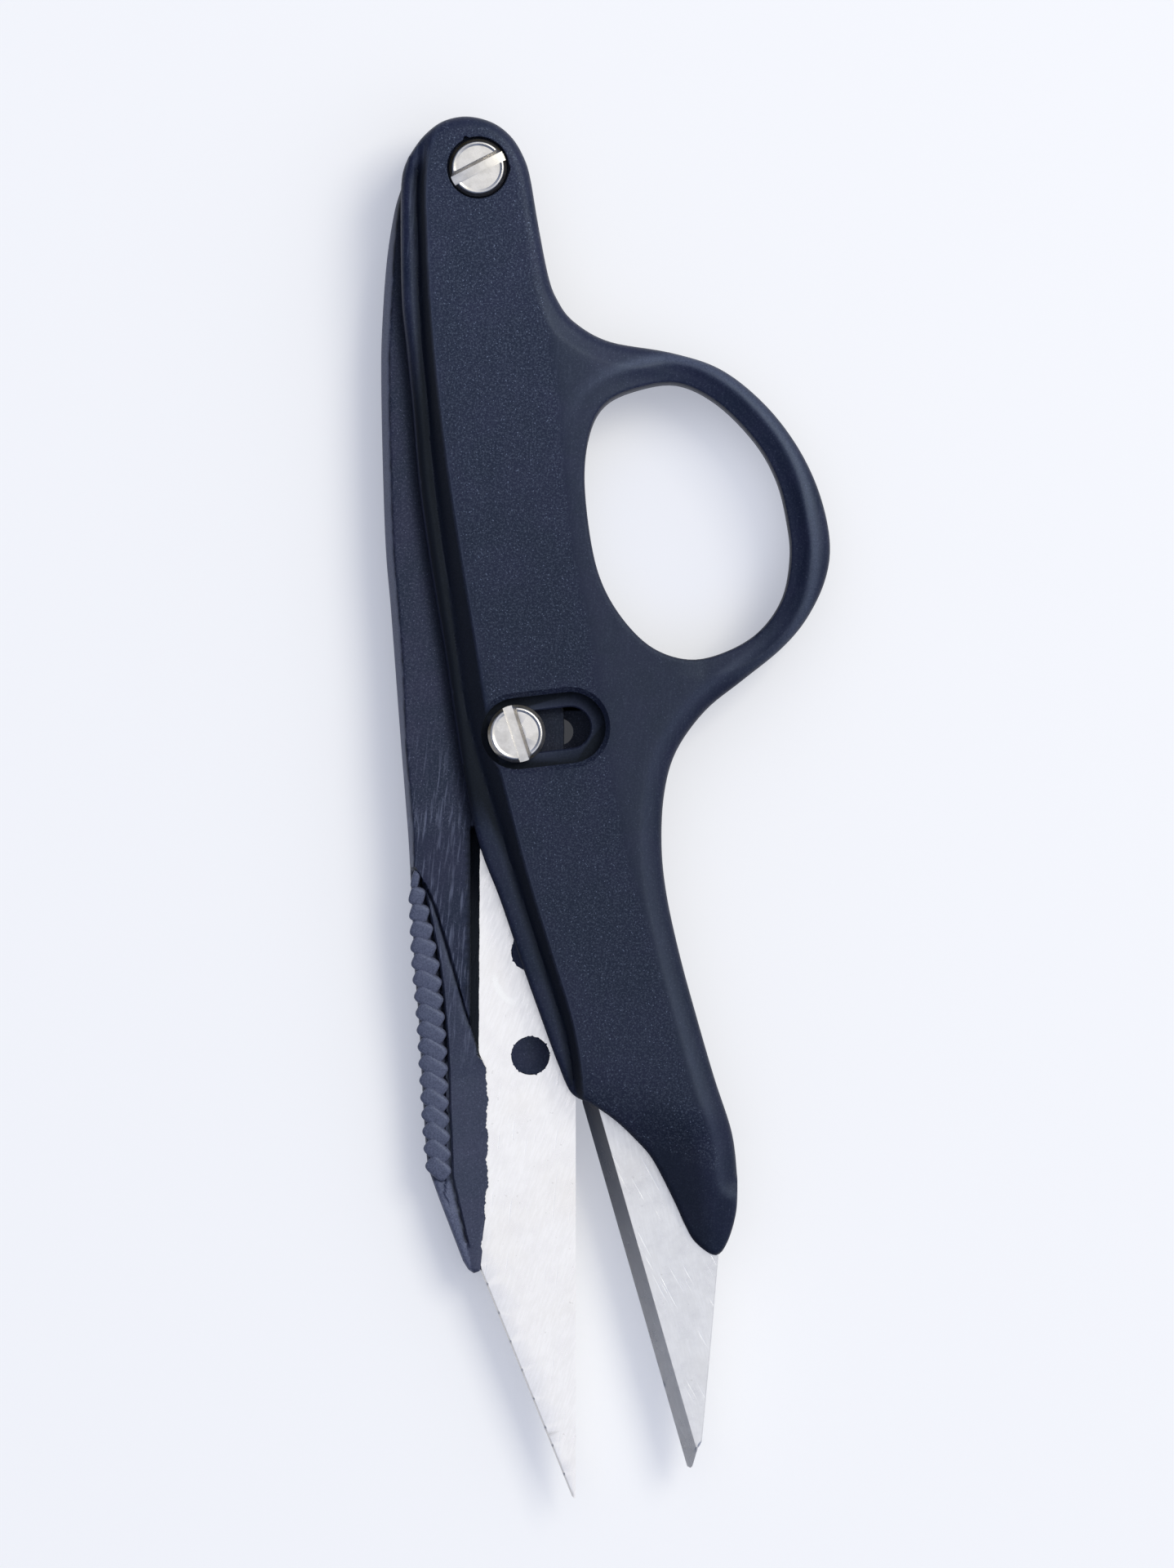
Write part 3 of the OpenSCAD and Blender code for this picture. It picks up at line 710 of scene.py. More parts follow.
def handle_top(p):
    x, y = p[:, 0], p[:, 1]
    left, beak, right = [from_line(p, path)
                         for path in (handle_left, handle_beak, handle_right)]
    # west of the brink the side drops to a rounded bead, east of the panel it slopes
    west = inside(p, west_of_brink)
    east = ~west & ~inside(p, panel_outline)
    off = np.where(west, from_line(p, brink), 0)
    side = np.where(east, from_line(p, panel_right), 0)
    band = band_width(y)
    ramp = 0.7 * np.clip(off / band, 0, 1) + 0.3 * smooth(off / band)
    past = np.maximum(off - band, 0)
    crown = down(y, [-30, -45], [0.25, 0.08])
    drop = (PANEL_Z - BEAD_Z + 0.1) * ramp - crown * smooth(2 * past / (past + left + 0.01))
    z = PANEL_Z - drop * smooth((3.9 - y) / 5)
    z -= np.minimum(0.15 * (np.sqrt(side ** 2 + 0.5) - 0.707), 1.38)
    # the beak falls to its tip and leans left of a soft ridge
    start = -84.5
    fall = np.maximum(start - y, 0)
    z -= 0.21 * fall * smooth(fall / 5 + 0.3)
    ridge = beak_ridge(y) - x
    z -= 0.05 * smooth((-80 - y) / 9) * (np.sqrt(ridge ** 2 + 2) + ridge)
    # the bar of the ring has a crest near its middle, with a hollow between it and the hole
    hole = distance(p, opening)
    hollow = 1 - (hole / CREST_D) ** 2
    bar = smooth((ring_lean(p, 0.9, 0.3) + 0.45) / 0.9)
    z -= 0.42 * bar * (hollow + np.sqrt(hollow ** 2 + 0.015))
    swell = down(y, [6, -8, -15, -50, -75, -98, -104], [1, 1, 1.9, 1.9, 1.8, 1.9, 0.8])
    flare = swell - right
    slope = 0.18 * (flare + np.sqrt(flare ** 2 + 0.03))
    round_off = [rounded_off(left, down(y, [-35, -60], [0.9, 0.5])), rounded_off(beak, 0.42),
                 rounded_off(hole, 0.3), slope + 0.9 * rounded_off(right, 0.7)]
    return z - np.maximum.reduce(round_off)


def handle_bottom(p):
    return rounded_off(np.minimum(distance(p, handle_outline), distance(p, opening)), 0.8)


def nicked_circle(radius):
    """Round mouth of the pivot's recess, with two nicks in its rim"""
    rim = circle((0, 0), 1, 120)
    a = np.degrees(np.arctan2(rim[:, 1], rim[:, 0]))
    nick = 0.28 * hill(a - 113, 4) + 0.12 * hill(a + 3, 7)
    return rim * (radius + nick)[:, None]


def ring_handle():
    brink_line = resample(brink, 0.3, closed=False)
    brink_line = brink_line[inside(brink_line, grown(handle_outline, -0.15))]
    rows = [beside(brink_line, -d)
            for d in (-0.4, -0.2, 0.12, 0.26, 0.44, 0.66, 0.88, 1.1, 1.35, 1.6, 1.9, 2.2)]
    rows += [beside(resample(panel_right, 0.4, closed=False), -d)
             for d in (-0.3, 0, 0.3, 0.6, 1)]
    piece = shell("ring_handle_body", handle_outline, handle_top, handle_bottom, [opening],
                  depths=(0.04, 0.12, 0.22, 0.36, 0.52, 0.7, 0.9, 1.15, 1.4, 1.6, 1.75, 1.9,
                          2.1), lines=[brink_line], rows=rows, spacing=0.5, step=0.32)
    guide_angle = math.atan2(GUIDE_AT[1], GUIDE_AT[0])
    reach = math.hypot(*GUIDE_AT)
    slot = arc_slot(reach, guide_angle, SWING, SLOT_W)
    recess = arc_slot(reach, guide_angle, SWING, RECESS_W)
    cut(piece,
        mouth_cutter("head_recess", nicked_circle(HEAD_R + HEAD_CLEAR), LEDGE_Z, PANEL_Z,
                     0.06),
        prism("pivot_bore", circle((0, 0), SHANK_D / 2 + PIVOT_CLEAR), ROOF_Z - 1,
              LEDGE_Z + 1),
        mouth_cutter("guide_recess", recess, LEDGE_Z, PANEL_Z, 0.08),
        mouth_cutter("guide_slot", slot, ROOF_Z - 1, LEDGE_Z, 0.12),
        prism("arm_cavity", arm_cavity, -1, ROOF_Z),
        prism("base_cavity", base_cavity, -2, UPPER_Z),
        prism("blade_seat", upper_outline, -3, UPPER_TOP),
        along_x("spring_seat", WALL_FACE_X - SEAT_MOUTH, WALL_FACE_X + HANDLE_SEAT, SPRING_Y,
                SPRING_Z, SEAT_R))
    flat, x, y, z = places(piece)
    panel = inside(flat, panel_outline) & (z > LEDGE_Z + 0.1 + 0.3 * (y < -84))
    rim = from_line(flat, brink)
    spot = hill(distance(flat, slot) - 0.3, 0.25) * (abs(z - LEDGE_Z) < 0.05)
    west = inside(flat, west_of_brink) & (z > LEDGE_Z)
    # painted shade: the steep band below the brink and the middle of the bead, which the raised
    # panel shades, are darkened
    band = band_width(y)
    spread = down(y, [-50, -62], [0.6, 1.1])
    steep = smooth(rim / 0.25) * smooth((band + spread - rim) / spread) * smooth((2 - y) / 3)
    low = smooth((-10 - y) / 14) * smooth((y + 62) / 6) * smooth((rim - band) / 0.4)
    # darker down the panel, and painted shade darkest on the left of the beak, which leans away
    # from the light
    left_of_ridge = smooth((beak_ridge(y) - x) / 2)
    fade = 0.3 * smooth((-2 - y) / 50) + 0.35 * left_of_ridge * smooth((-80 - y) / 12)
    # painted shade in the depths of the guide slot and on the walls of its recess
    deep = (z < LEDGE_Z - 0.15) & (z > BASE_TOP) & (distance(flat, slot) < 0.4)
    deep = deep | ((distance(flat, recess) < 0.15) & (z < LEDGE_Z + 0.3))
    # painted highlight along the crest of the ring's bar, there partly also rubbed wear, and a
    # painted highlight band along the right flank
    bar = smooth((ring_lean(flat, 0.75, 0.55) + 0.5) / 0.9)
    bar = hill(distance(flat, opening) - CREST_D - 0.5, 0.45) * bar
    edge = from_line(flat, handle_right)
    flank = hill(edge - 1.5, 0.5) * down(y, [-40, -46, -56, -66, -80, -96, -101],
                                         [0, 0.2, 0.1, 0.08, 0.16, 0.12, 0])
    rubbed = np.maximum(0.34 * bar, flank) * (z > LEDGE_Z - 2)
    brink_worn = 0.1 * hill(rim, 0.14) * (z > LEDGE_Z + 0.4)
    place_masks(piece, sparked=np.where(panel, 0.25 + 0.75 * smooth(rim / 0.5), 0.2),
                worn=np.maximum.reduce([brink_worn, rubbed, 0.4 * spot * (x < 7.5)]),
                scuffed=0.3 * (west & (y > -12)),
                soiled=np.maximum(np.clip(0.85 * steep + low, 0, 1) * west,
                                  np.where(deep, 0.95, fade)))
    finish_off(piece, handle_nylon, "ring_side", "ring_handle")


# ---------- thumb lever ----------
LAP_Z = BLADE_TOP + LAP_T
# the groove beside the ribs, the slanting edge where the arm ends, and the edge of the
# plastic over the blade, each as ys and xs
GROOVE = ([-63, -64, -65.9, -67.8, -69.4, -71.5, -73.5, -76.2, -78.9, -81.8, -84.9, -87.8,
           -91, -99.3],
          [-5.85, -5.23, -4.71, -4.3, -3.99, -3.57, -3.3, -3.06, -2.85, -2.7, -2.64, -2.5,
           -2.4, -0.5])
FACET = ([-63, -64.65, -66.3, -69, -71.9, -76.2, -78.7, -80.4],
         [-5.85, -4.81, -3.99, -3.16, -2.33, -1.09, -0.27, 0.15])
NECK = ([-48.7, -54, -58, -61, -79.8, -81.5, -91.3, -98.6, -99.8],
        [7.7, 7.7, 4.4, 0.12, 0.02, 0.75, 0.8, 0.25, 0.1])
# ys where the ribs' bed starts and where the lever's smooth toe does
WEDGE_TOP, TOE_Y = -63, -94.5
SHELF_X, SHELF_TOP, SHELF_END = -0.72, -59.6, -80.4
lever_flank = np.vstack([lever_left, lever_toe])
over_blade = grown(lower_outline, 0.4)


def ragged_neck(y):
    """Edge of the plastic over the blade, torn along the lap"""
    tear = 0.08 * np.sin(1.7 * y) + 0.05 * np.sin(4.1 * y + 1) + 0.045 * np.sin(
        11 * y + 2) * np.sin(2.3 * y) + 0.03 * np.sin(17 * y)
    return down(y, *NECK) + tear * (0.15 + 0.85 * smooth((-80.5 - y) / 1.5))


def shelf_edge(y):
    """Left edge of the shelf beside the blade's root, which the wedge closes off below"""
    return np.maximum(SHELF_X, down(y, *FACET))


def strip_width(y):
    """Width of the smooth chamfer down the lever's left side"""
    return down(y, [-2, -10, -45, -52, -60, -64], [0.3, 0.75, 0.7, 0.45, 0.5, 0.3])


def lever_top(p):
    x, y = p[:, 0], p[:, 1]
    edge = distance(p, lever_outline)
    flank = from_line(p, lever_flank)
    z = down(y, [-60, -66, -73, -79, -82, -99], [ARM_TOP, 6.2, 5.75, 5.15, LAP_Z, LAP_Z])
    # the wedge below the arm's slanting edge, with a crack along it
    past = down(y, *FACET) - x
    below = (y < WEDGE_TOP) & (y > SHELF_END)
    step = down(y, [-63, -64.5, -70, -78, -81], [0.3, 0.45, 0.35, 0.16, 0.05])
    z = z - np.where(below, step * smooth(past / 0.12 + 0.5), 0)
    z = z - 0.25 * hill(past - 0.02, 0.07) * below
    # trench and bed of the ribs, left of the groove
    off = down(y, *GROOVE) - x
    above_toe = smooth((y - TOE_Y) / 2)
    bed = 0.85 * smooth(off / 0.12) - 0.3 * smooth((off - 0.25) / 0.3)
    z = z - np.where(off > 0, bed * ((y < WEDGE_TOP) * above_toe), 0)
    z = z - np.where(off > 0, 0.1 * off, 0) * (1 - above_toe)
    z = z - 0.3 * hill(off, 0.1) * ((y < WEDGE_TOP) & (y > TOE_Y - 3))
    # shelf beside the blade's root, under the arm's right edge
    shelf = smooth((x - shelf_edge(y)) / 0.06) * (y < SHELF_TOP) * (y > SHELF_END)
    z = z + (np.minimum(z, BLADE_TOP + 0.1) - z) * shelf
    # chamfer of the left side
    width = strip_width(y)
    arm = y > -63.5
    z = z - np.where(arm, 1.45 * np.clip(1 - flank / width, 0, 1), rounded_off(flank, 0.45))
    z = z - 0.1 * hill(flank - width, 0.08) * arm
    z = z - np.where(flank > edge + 0.01, rounded_off(edge, 0.4), 0)
    # the plastic closes over the blade, up to the neck
    z = np.where(inside(p, over_blade), np.maximum(z, BLADE_TOP + 0.07), z)
    bare = smooth((x - ragged_neck(y)) / 0.06) * (y < NECK[0][0])
    return z + (BASE_TOP - z) * bare


def lever_bottom(p):
    return rounded_off(distance(p, lever_outline), 0.6)


def upright(xs, ys):
    """Line through the ys that stays within the lever"""
    line = np.column_stack([np.broadcast_to(xs, np.shape(ys)), ys])
    return line[inside(line, grown(lever_outline, -0.1))]


def thumb_lever():
    neck_y = np.arange(-48.8, -99.5, -0.12)
    shelf_y = np.arange(SHELF_TOP - 0.1, SHELF_END, -0.3)
    groove_y = np.arange(-63.1, -99, -0.25)
    facet_y = np.arange(-63.2, -80.2, -0.25)
    lines = [upright(ragged_neck(neck_y) + d, neck_y) for d in (0, 0.06)]
    lines += [upright(shelf_edge(shelf_y) + d, shelf_y) for d in (0, 0.06)]
    rows = [upright(down(groove_y, *GROOVE) - d, groove_y)
            for d in (-0.2, -0.1, 0, 0.06, 0.12, 0.25, 0.4, 0.55)]
    rows += [upright(down(facet_y, *FACET) - d, facet_y)
             for d in (-0.2, -0.1, -0.04, 0.02, 0.08, 0.16, 0.3)]
    piece = shell("thumb_lever_body", lever_outline, lever_top, lever_bottom,
                  depths=(0.05, 0.14, 0.25, 0.35, 0.45, 0.55, 0.65, 0.72, 0.78, 0.86, 1.0),
                  lines=lines, rows=rows, spacing=0.45, step=0.3)
    cut(piece,
        prism("pivot_insert_bore", circle((0, 0), INSERT_R), -1, 20),
        prism("guide_insert_bore", circle(GUIDE_AT, INSERT_R), -1, 20),
        prism("foot_hole", circle(foot_hole, FOOT_HOLE_R), -1, BASE_TOP + 1),
        prism("blade_pocket", lower_outline, BASE_TOP, BLADE_TOP),
        along_x("spring_seat", LEVER_FACE_X - LEVER_SEAT, LEVER_FACE_X + SEAT_MOUTH, SPRING_Y,
                SPRING_Z, SEAT_R + SEAT_ROOM))
    flat, x, y, z = places(piece)
    flank = from_line(flat, lever_flank)
    width = strip_width(y)
    strip = (flank < width - 0.02) & (z > 3) & (y > WEDGE_TOP)
    # painted shade darkens the crack along the chamfer's edge, the split along the wedge, the
    # trench beside the ribs and the shelf beside the blade's root
    patchy = 0.5 + 0.5 * np.sin(2.3 * y) * np.sin(0.9 * y + 1)
    crack = hill(flank - width, 0.1) * patchy * (y > -62)
    past, off = down(y, *FACET) - x, down(y, *GROOVE) - x
    split = hill(past - 0.02, 0.09) * (y < WEDGE_TOP) * (y > -80)
    trench = hill(off - 0.1, 0.16) * (y < -63.5) * (y > -97)
    shade = (x > shelf_edge(y) - 0.02) & (x < 0.4) & (y < SHELF_TOP) & (y > SHELF_END)
    up = z > 3.5
    toe_strip = (off > 0.1) & (y < -91.5)
    # painted shadow of the handle along the gap beside the arm, and painted shade where the arm
    # shows in the guide slot
    in_slot = np.linalg.norm(flat - GUIDE_AT, axis=1) < 5
    beside_gap = smooth(1 - from_line(flat, handle_left) / 1.3) * (y > -60)
    grime = np.maximum(0.6 * in_slot, 0.7 * beside_gap)
    wedge = smooth(past / 0.3) * smooth((-64 - y) / 3) * smooth((y + 82) / 3)
    # the chamfer strip down the left side is lightened partly as wear and partly as painted
    # light from the bright table; the toe is lightened as wear
    place_masks(piece, sparked=np.where(y > -60, 0.7, 0.3) * ~strip,
                worn=(0.6 * strip + 0.2 * smooth((-79 - y) / 3) + 0.16 * wedge
                      + 0.5 * toe_strip) * up,
                scuffed=smooth((-50 - y) / 6) * smooth((y + 82) / 5) * up,
                soiled=np.clip(0.75 * crack + split + 0.9 * trench + shade + grime, 0, 1) * up)
    finish_off(piece, lever_nylon, "thumb_side", "thumb_lever")


# ---------- Geometry Nodes ----------
def node_tree(name, inputs):
    """An empty Geometry Nodes tree with a geometry output and the named number inputs"""
    tree = bpy.data.node_groups.new(name, "GeometryNodeTree")
    tree.interface.new_socket("Geometry", in_out="INPUT", socket_type="NodeSocketGeometry")
    tree.interface.new_socket("Geometry", in_out="OUTPUT", socket_type="NodeSocketGeometry")
    for label in inputs:
        tree.interface.new_socket(label, in_out="INPUT", socket_type="NodeSocketFloat")
    return tree


def close_tree(tree, geometry, material):
    """Ends a tree in Realize Instances and Set Material"""
    real = add_node(tree, "GeometryNodeRealizeInstances", {}, {"Geometry": geometry})
    done = add_node(tree, "GeometryNodeSetMaterial", {},
                    {"Geometry": real[0], "Material": material})
    add_node(tree, "NodeGroupOutput", {}, {"Geometry": done[0]})


def run_tree(piece, tree, values):
    """Runs a tree on a piece with its inputs set, and makes the result final"""
    step = piece.modifiers.new(tree.name, "NODES")
    step.node_group = tree
    for item in tree.interface.items_tree:
        if item.in_out == "INPUT" and item.name in values:
            step[item.identifier] = values[item.name]
    return evaluated(piece)


# ---------- ribs of the thumb rest ----------
def rib_tree():
    """Sets a rounded, slightly tilted lobe on each point; the points carry the lobe's
    half width in "half" and its turn about Z in "turn" """
    tree = node_tree("thumb_ribs", ["Unit", "Depth", "Height", "Tilt", "Squareness"])
    given = add_node(tree, "NodeGroupInput")
    ball = add_node(tree, "GeometryNodeMeshUVSphere", {},
                    {"Segments": 28, "Rings": 16, "Radius": 1.0})
    place = add_node(tree, "GeometryNodeInputPosition")
    part = add_node(tree, "ShaderNodeSeparateXYZ", {}, {0: place[0]})
    square = {}
    for k, axis in enumerate("XYZ"):
        size = add_node(tree, "ShaderNodeMath", {"operation": "ABSOLUTE"}, {0: part[k]})
        full = add_node(tree, "ShaderNodeMath", {"operation": "POWER"},
                        {0: size[0], 1: given["Squareness"]})
        sign = add_node(tree, "ShaderNodeMath", {"operation": "SIGN"}, {0: part[k]})
        square[axis] = add_node(tree, "ShaderNodeMath", {"operation": "MULTIPLY"},
                                {0: full[0], 1: sign[0]})[0]
    boxed = add_node(tree, "ShaderNodeCombineXYZ", {}, square)
    lobe = add_node(tree, "GeometryNodeSetPosition", {},
                    {"Geometry": ball["Mesh"], "Position": boxed[0]})
    half, turn = [add_node(tree, "GeometryNodeInputNamedAttribute", {"data_type": "FLOAT"},
                           {"Name": name})[0] for name in ("half", "turn")]
    size = add_node(tree, "ShaderNodeCombineXYZ", {},
                    {"X": half, "Y": given["Depth"], "Z": given["Height"]})
    scaled = add_node(tree, "ShaderNodeVectorMath", {"operation": "SCALE"},
                      {0: size[0], "Scale": given["Unit"]})
    angles = add_node(tree, "ShaderNodeCombineXYZ", {}, {"X": given["Tilt"], "Z": turn})
    placed = add_node(tree, "GeometryNodeInstanceOnPoints", {},
                      {"Points": given["Geometry"], "Instance": lobe[0],
                       "Rotation": angles[0], "Scale": scaled[0]})
    close_tree(tree, placed[0], lever_nylon)
    return tree


def thumb_ribs():
    count, pitch, first = 18, 1.54, -64.1
    y = first - pitch * np.arange(count)
    right = down(y, *GROOVE) - 0.12
    left = np.interp(-y, -lever_flank[:, 1], lever_flank[:, 0]) - 0.12
    left[0] += 0.25
    level = down(y, [-64, -73, -79, -82, -92], [5.55, 5.15, 4.7, 4.35, 4.2])
    piece = new_object("thumb_ribs", np.column_stack([(left + right) / 2, y, level]), [])
    place_masks(piece, half=0.55 * (right - left),
                turn=np.radians(down(y, [-64, -75, -92], [-14, -30, -42])))
    run_tree(piece, rib_tree(), {"Unit": MM, "Depth": 0.84, "Height": 0.5, "Tilt": 0.2,
                                 "Squareness": 0.55})
    place_masks(piece, sparked=0.1, worn=0.62, scuffed=0, soiled=0)
    finish_off(piece, lever_nylon, "thumb_side", sharp=60)


# ---------- blades ----------
def lower_blade():
    keys = [circle(k, KEY_D / 2) for k in lower_keys]
    rise = (BLADE_TOP - BASE_TOP - EDGE_LAND) / BEVEL_W

    def top(p):
        return BLADE_TOP - rounded_off(from_line(p, lower_outline[4:7]), 0.16)

    def bottom(p):
        return BASE_TOP + rise * np.maximum(p[:, 0] - EDGE_X + BEVEL_W, 0) * (
            p[:, 1] < ROOT_Y - 1)

    piece = shell("lower_blade_steel", lower_outline, top, bottom, keys, depths=(0.1, 0.2),
                  lines=[[[EDGE_X - BEVEL_W, y] for y in np.arange(-63.5, -117.5, -0.5)]],
                  spacing=1.2)
    # painted shade and a painted dark reflection along the rounded back edge
    edge = from_line(places(piece)[0], lower_outline[4:7])
    place_masks(piece, bevelled=0.4 * (edge < 0.12))
    finish_off(piece, lower_steel, "thumb_side", "lower_blade", sharp=25)


def upper_blade():
    run = upper_edge[1] - upper_edge[0]
    length = np.linalg.norm(run)
    run = run / length
    across = np.array([-run[1], run[0]])
    depth = UPPER_TOP - UPPER_Z - EDGE_LAND

    def from_edge(p):
        return (p - upper_edge[0]) @ across

    def top(p):
        ground = depth * np.clip(1 - from_edge(p) / BEVEL_W, 0, 1)
        back = from_line(p, upper_outline[3:8])
        return UPPER_TOP - np.maximum(ground, rounded_off(back, 0.12))

    along = run * np.arange(0.3, length - 1.6, 0.5)[:, None]
    lines = [upper_edge[0] + across * (BEVEL_W + d) + along for d in (0, 0.05)]
    piece = shell("upper_blade_steel", upper_outline, top, lambda p: np.full(len(p), UPPER_Z),
                  [circle(k, KEY_D / 2) for k in upper_keys], depths=(0.1, 0.2), lines=lines,
                  spacing=1.2)
    flat, _, y, z = places(piece)
    # painted shade and a painted dark reflection: the bevel is dark near the handle and brighter
    # towards the tip
    ground = (from_edge(flat) < BEVEL_W + 0.02) & (z > UPPER_Z + 0.1)
    place_masks(piece, bevelled=ground * down(y, [-84, -90, -107], [1, 0.75, 0.28]))
    finish_off(piece, upper_steel, "ring_side", "upper_blade", sharp=25)


def plugs(name, centres, z0, z1, material, body, seed):
    """Plastic in the holes that key a blade, with torn rims"""
    rng = np.random.default_rng(seed)
    a = np.arange(90) * 2 * math.pi / 90
    parts = []
    for k, centre in enumerate(centres):
        tooth = 0.09 * np.sin(9 * a + k) * np.sin(4 * a + 1) + 0.04 * np.sin(23 * a)
        r = KEY_D / 2 + tooth + rng.normal(0, 0.035, 90)
        rim = np.column_stack([r * np.cos(a), r * np.sin(a)])
        levels = [(z0, centre + 0.97 * rim), (z1 - 0.03, centre + rim),
                  (z1, centre + 0.96 * rim)]
        parts.append(stacked(f"{name}_{k}", levels))
    piece = joined(name, parts)
    place_masks(piece, sparked=0.35, worn=0.05, scuffed=0, soiled=0)
    finish_off(piece, material, body)


def joined(name, parts):
    """One mesh object from several"""
    mesh = bmesh.new()
    for part in parts:
        mesh.from_mesh(part.data)
        bpy.data.objects.remove(part)
    made = linked(name, bpy.data.meshes.new(name))
    mesh.to_mesh(made.data)
    mesh.free()
    return made


# ---------- screws and inserts ----------
def screw(node, at, driver_angle):
    tip = screw_box[0][2]
    neck_z = LEDGE_Z + HEAD_GAP
    top = PANEL_Z
    shoulder = INSERT_TOP + SEAT_GAP
    profile = [(0, tip), (THREAD_R - 0.3, tip), (THREAD_R, tip + 0.3), (THREAD_R, shoulder),
               (SHANK_D / 2, shoulder), (SHANK_D / 2, neck_z), (HEAD_R - 0.15, neck_z),
               (HEAD_R, neck_z + 0.15), (HEAD_R, top - 0.46)]
    # a steep flank, a rolled rim and a flat face a little below it
    face_r, rim_r = HEAD_R - 0.22, 0.2
    for a in np.radians([8, 26, 44, 62, 80, 90]):
        profile.append((face_r - rim_r * (1 - math.cos(a)), top - rim_r + rim_r * math.sin(a)))
    profile += [(face_r - 0.3, top - 0.04), (face_r - 0.4, top - 0.09), (0.9, top - 0.07),
                (0, top - 0.06)]
    piece = lathe(node + "_turned", profile, 96, at)
    # the slot's far wall slopes, its near wall stands upright
    floor_z = top - 0.45
    near, far_foot, lip = -0.5, 0.36, 0.72
    section = [(near, top + 2), (near, floor_z), (far_foot, floor_z), (lip, top),
               (lip, top + 2)]
    driver = new_object("driver_slot",
                        [(x, v, z) for x in (-4, 4) for v, z in section],
                        [range(4, -1, -1), range(5, 10)] + [(i, (i + 1) % 5, (i + 1) % 5 + 5,
                                                             i + 5) for i in range(5)])
    set_down(driver, (*at, 0), math.radians(driver_angle))
    cut(piece, driver)
    soften = piece.modifiers.new("worn_edges", "BEVEL")
    soften.width, soften.segments = 0.05 * MM, 2
    soften.limit_method, soften.angle_limit = "ANGLE", math.radians(40)
    evaluated(piece)
    # painted shade lies on the slot's sloping wall, and a painted dark reflection on the flank
    # turned away from the window
    facets = piece.data.polygons
    middle = np.array([facet.center for facet in facets]) / MM - [*at, 0]
    across = turned(middle[:, :2], -math.radians(driver_angle))[:, 1]
    wall = (across > 0.34) & (across < 0.76) & (middle[:, 2] < top - 0.1) & np.array(
        [0.2 < facet.normal.z < 0.9 for facet in facets])
    in_slot = (abs(across - 0.1) < 0.62) & (middle[:, 2] < top - 0.12)
    away = middle[:, :2] @ [-0.85, 0.5] / np.maximum(np.linalg.norm(middle[:, :2], axis=1), 1)
    flank = (np.linalg.norm(middle[:, :2], axis=1) > face_r) & ~in_slot
    stain = np.where(wall, 0.9, flank * np.clip(0.35 + 0.6 * away, 0.1, 0.9))
    place_masks(piece, "FACE", stained=stain)
    finish_off(piece, screw_nickel, "thumb_side", node, sharp=20)


def insert(node, at):
    r = INSERT_R
    profile = [(0, 0.12), (0.5, 0.12), (0.7, 0), (r - 0.25, 0), (r, 0.25), (r, INSERT_TOP),
               (THREAD_R, INSERT_TOP), (THREAD_R, 0.8), (0, 0.8)]
    piece = lathe(node + "_turned", profile, 72, at)
    place_masks(piece, stained=0.2)
    finish_off(piece, insert_brass, "thumb_side", node)


# ---------- return spring ----------
def spring_tree():
    tree = node_tree("spring_coil", ["Turns", "Coil radius", "Wire radius", "Length"])
    given = add_node(tree, "NodeGroupInput")
    coil = add_node(tree, "GeometryNodeCurveSpiral", {},
                    {"Resolution": 40, "Rotations": given["Turns"],
                     "Start Radius": given["Coil radius"], "End Radius": given["Coil radius"],
                     "Height": given["Length"]})
    ring = add_node(tree, "GeometryNodeCurvePrimitiveCircle", {},
                    {"Resolution": 12, "Radius": given["Wire radius"]})
    tube = add_node(tree, "GeometryNodeCurveToMesh", {},
                    {"Curve": coil[0], "Profile Curve": ring[0], "Fill Caps": True})
    laid = add_node(tree, "GeometryNodeTransform", {},
                    {"Geometry": tube[0], "Rotation": (0, math.pi / 2, 0)})
    close_tree(tree, laid[0], spring_wire)
    return tree


def return_spring():
    low, high = spring_box
    wire_d = 0.45
    coil_r = (high[2] - low[2] - wire_d) / 2
    length = high[0] - low[0] - wire_d
    piece = new_object("return_spring_coil", [(0, 0, 0)], [])
    run_tree(piece, spring_tree(), {"Turns": 6.5, "Coil radius": coil_r * MM,
                                    "Wire radius": wire_d / 2 * MM, "Length": length * MM})
    set_down(piece, (low[0] + wire_d / 2, SPRING_Y, SPRING_Z))
    place_masks(piece, stained=0.1)
    finish_off(piece, spring_wire, None, "return_spring", sharp=60)
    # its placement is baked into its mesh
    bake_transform(piece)


ring_handle()
thumb_lever()
thumb_ribs()
lower_blade()
upper_blade()
plugs("lower_blade_plugs", lower_keys, BASE_TOP - 0.5, BLADE_TOP + 0.02, lever_nylon,
      "thumb_side", 3)
plugs("upper_blade_plugs", upper_keys, UPPER_Z, UPPER_TOP + 0.5, handle_nylon, "ring_side",
      4)
screw("pivot_screw", (0, 0), 27)
screw("guide_screw", GUIDE_AT, -72)
insert("pivot_insert", (0, 0))
insert("guide_insert", GUIDE_AT)
return_spring()


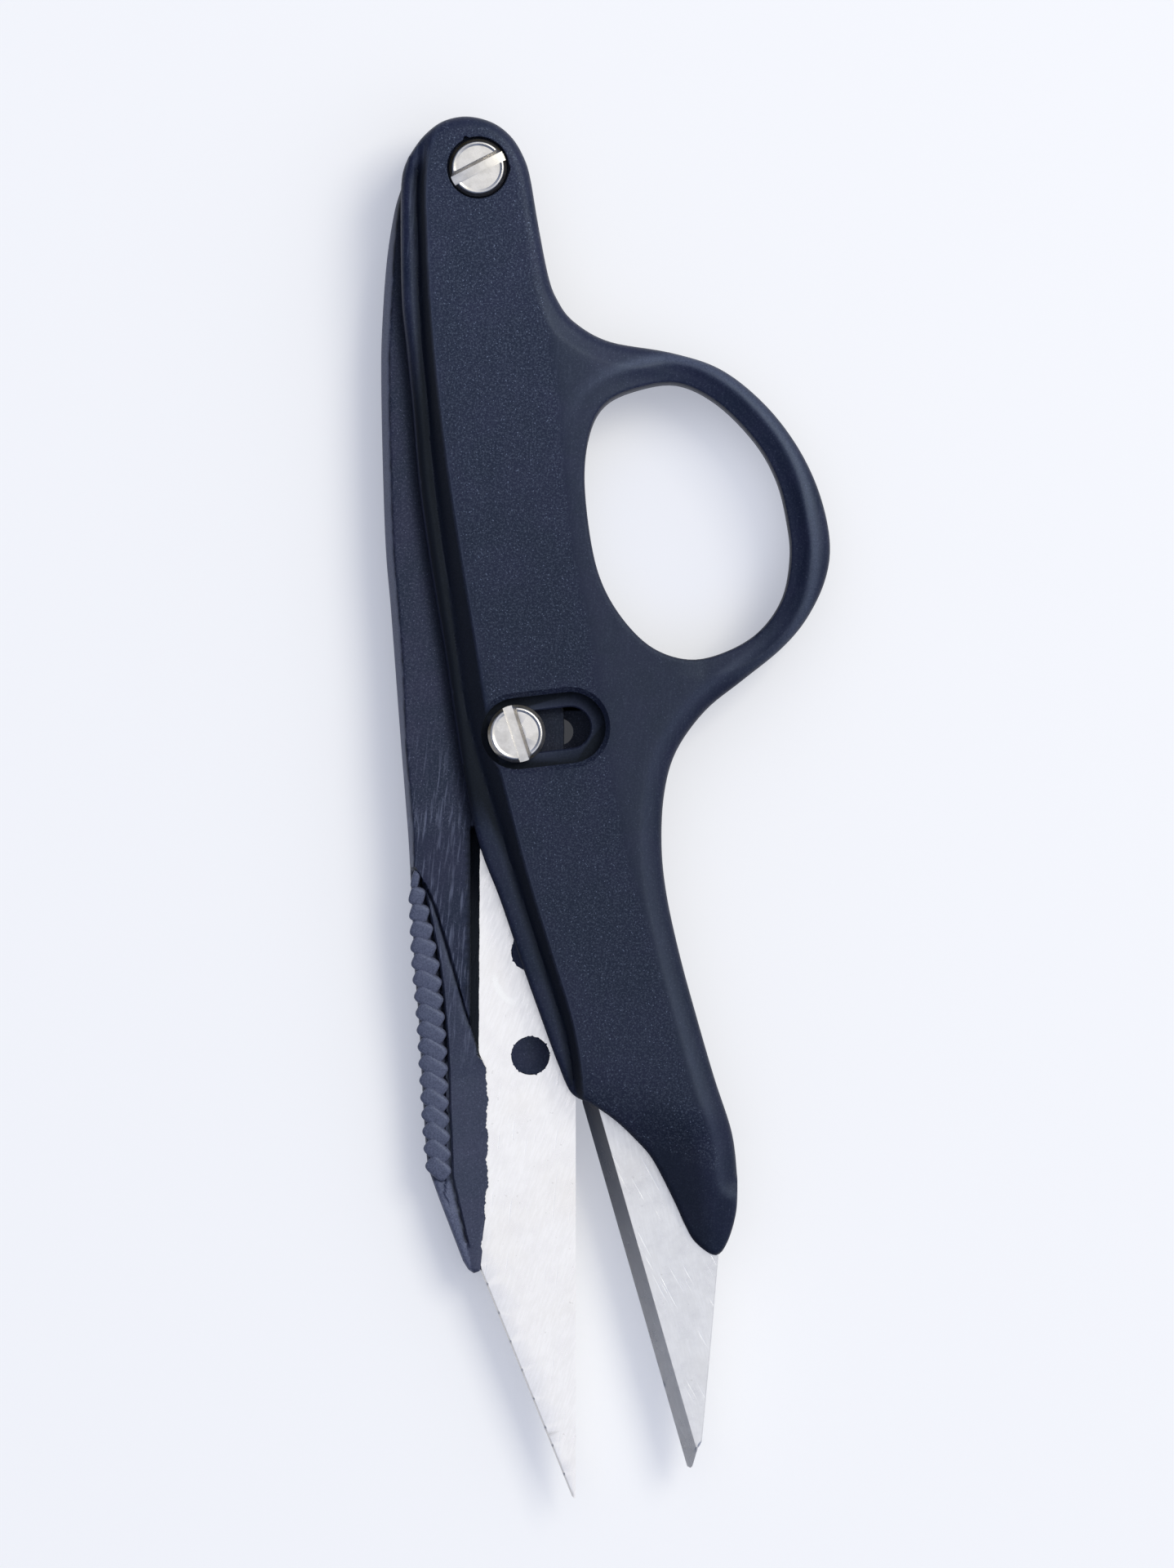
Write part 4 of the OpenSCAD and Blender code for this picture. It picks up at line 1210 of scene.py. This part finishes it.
# ---------- floor, light and camera ----------
def floor():
    size = 1.5
    made = linked("floor", bpy.data.meshes.new("floor"))
    made.data.from_pydata([(-size, -size, 0), (size, -size, 0), (size, size, 0),
                           (-size, size, 0)], [], [(0, 1, 2, 3)])
    made.location.z = -0.02 * MM
    f = Finish("floor_white")
    seen = 0
    for ray in ("Is Camera Ray", "Is Glossy Ray", "Is Transmission Ray"):
        seen = seen + f.node("ShaderNodeLightPath", output=ray)
    # painted shade: the floor turns into a dark sheet and stays dim where it shows through the
    # guide slot
    apart = f.away((GUIDE_AT[0] + 4.4, GUIDE_AT[1], 0)).above(0.0032, 0.0045)
    in_ring = 1 - f.away((*RING_C, 0)).above(0.005, 0.0125)
    in_hole = 1 - f.away((*foot_hole, 0)).above(0.0013, 0.0016)
    glow = f.node("ShaderNodeEmission", {}, {"Color": (0.85, 0.88, 0.99, 1), "Strength": 1.0})
    dark = f.node("ShaderNodeBsdfDiffuse", {}, {"Color": (0.01, 0.012, 0.02, 1)})
    white = f.node("ShaderNodeBsdfDiffuse", {}, {"Color": (0.95, 0.948, 0.938, 1)})
    lit = f.node("ShaderNodeMixShader", {}, {0: apart, 1: dark, 2: white})
    # painted light: extra glow lightens the shade inside the finger ring and in the foot hole
    shown = seen * (0.38 * apart + 0.27 * in_ring + 0.06 * in_hole)
    made.data.materials.append(f.finished(
        f.node("ShaderNodeMixShader", {}, {0: shown, 1: lit, 2: glow})))


def studio_sky():
    """World that is brightest overhead and towards the window, and dim low down"""
    world = bpy.data.worlds.new("studio")
    world.use_nodes = True
    tree = world.node_tree
    tree.nodes.clear()
    place = add_node(tree, "ShaderNodeTexCoord")
    facing = add_node(tree, "ShaderNodeVectorMath", {"operation": "DOT_PRODUCT"},
                      {0: place["Generated"], 1: Vector((0.45, 0.35, 0.82))})
    ramp = add_node(tree, "ShaderNodeMapRange", {"interpolation_type": "SMOOTHSTEP"},
                    {"Value": facing["Value"], "From Min": 0.2, "From Max": 0.92,
                     "To Min": 0.18, "To Max": 1.0})
    tint = add_node(tree, "ShaderNodeMix", {"data_type": "RGBA"},
                    {0: ramp[0], 6: (0.6, 0.8, 1.4, 1), 7: (0.97, 0.985, 1.04, 1)})
    sky = add_node(tree, "ShaderNodeBackground", {}, {"Color": tint[2], "Strength": ramp[0]})
    add_node(tree, "ShaderNodeOutputWorld", {}, {"Surface": sky[0]})
    bpy.context.scene.world = world


def lamp(name, at, target, size, power, colour):
    data = bpy.data.lights.new(name, "AREA")
    data.size, data.energy, data.color = size, power, colour
    made = linked(name, data)
    made.location = at
    made.rotation_euler = (Vector(target) - Vector(at)).to_track_quat("-Z", "Y").to_euler()


def camera():
    """Straight above the middle of the frame"""
    data = bpy.data.cameras.new("camera")
    data.lens, data.sensor_width = 278, 36
    data.clip_start = 0.01
    made = linked("camera", data)
    made.location = Vector((9.82, -55.52, 1100)) * MM
    bpy.context.scene.camera = made


floor()
studio_sky()
lamp("key_light", (0.62, 0.4, 1.0), (0.01, -0.06, 0), 0.55, 8.6, (1, 0.96, 0.82))
camera()
bpy.context.scene.view_settings.view_transform = "Standard"
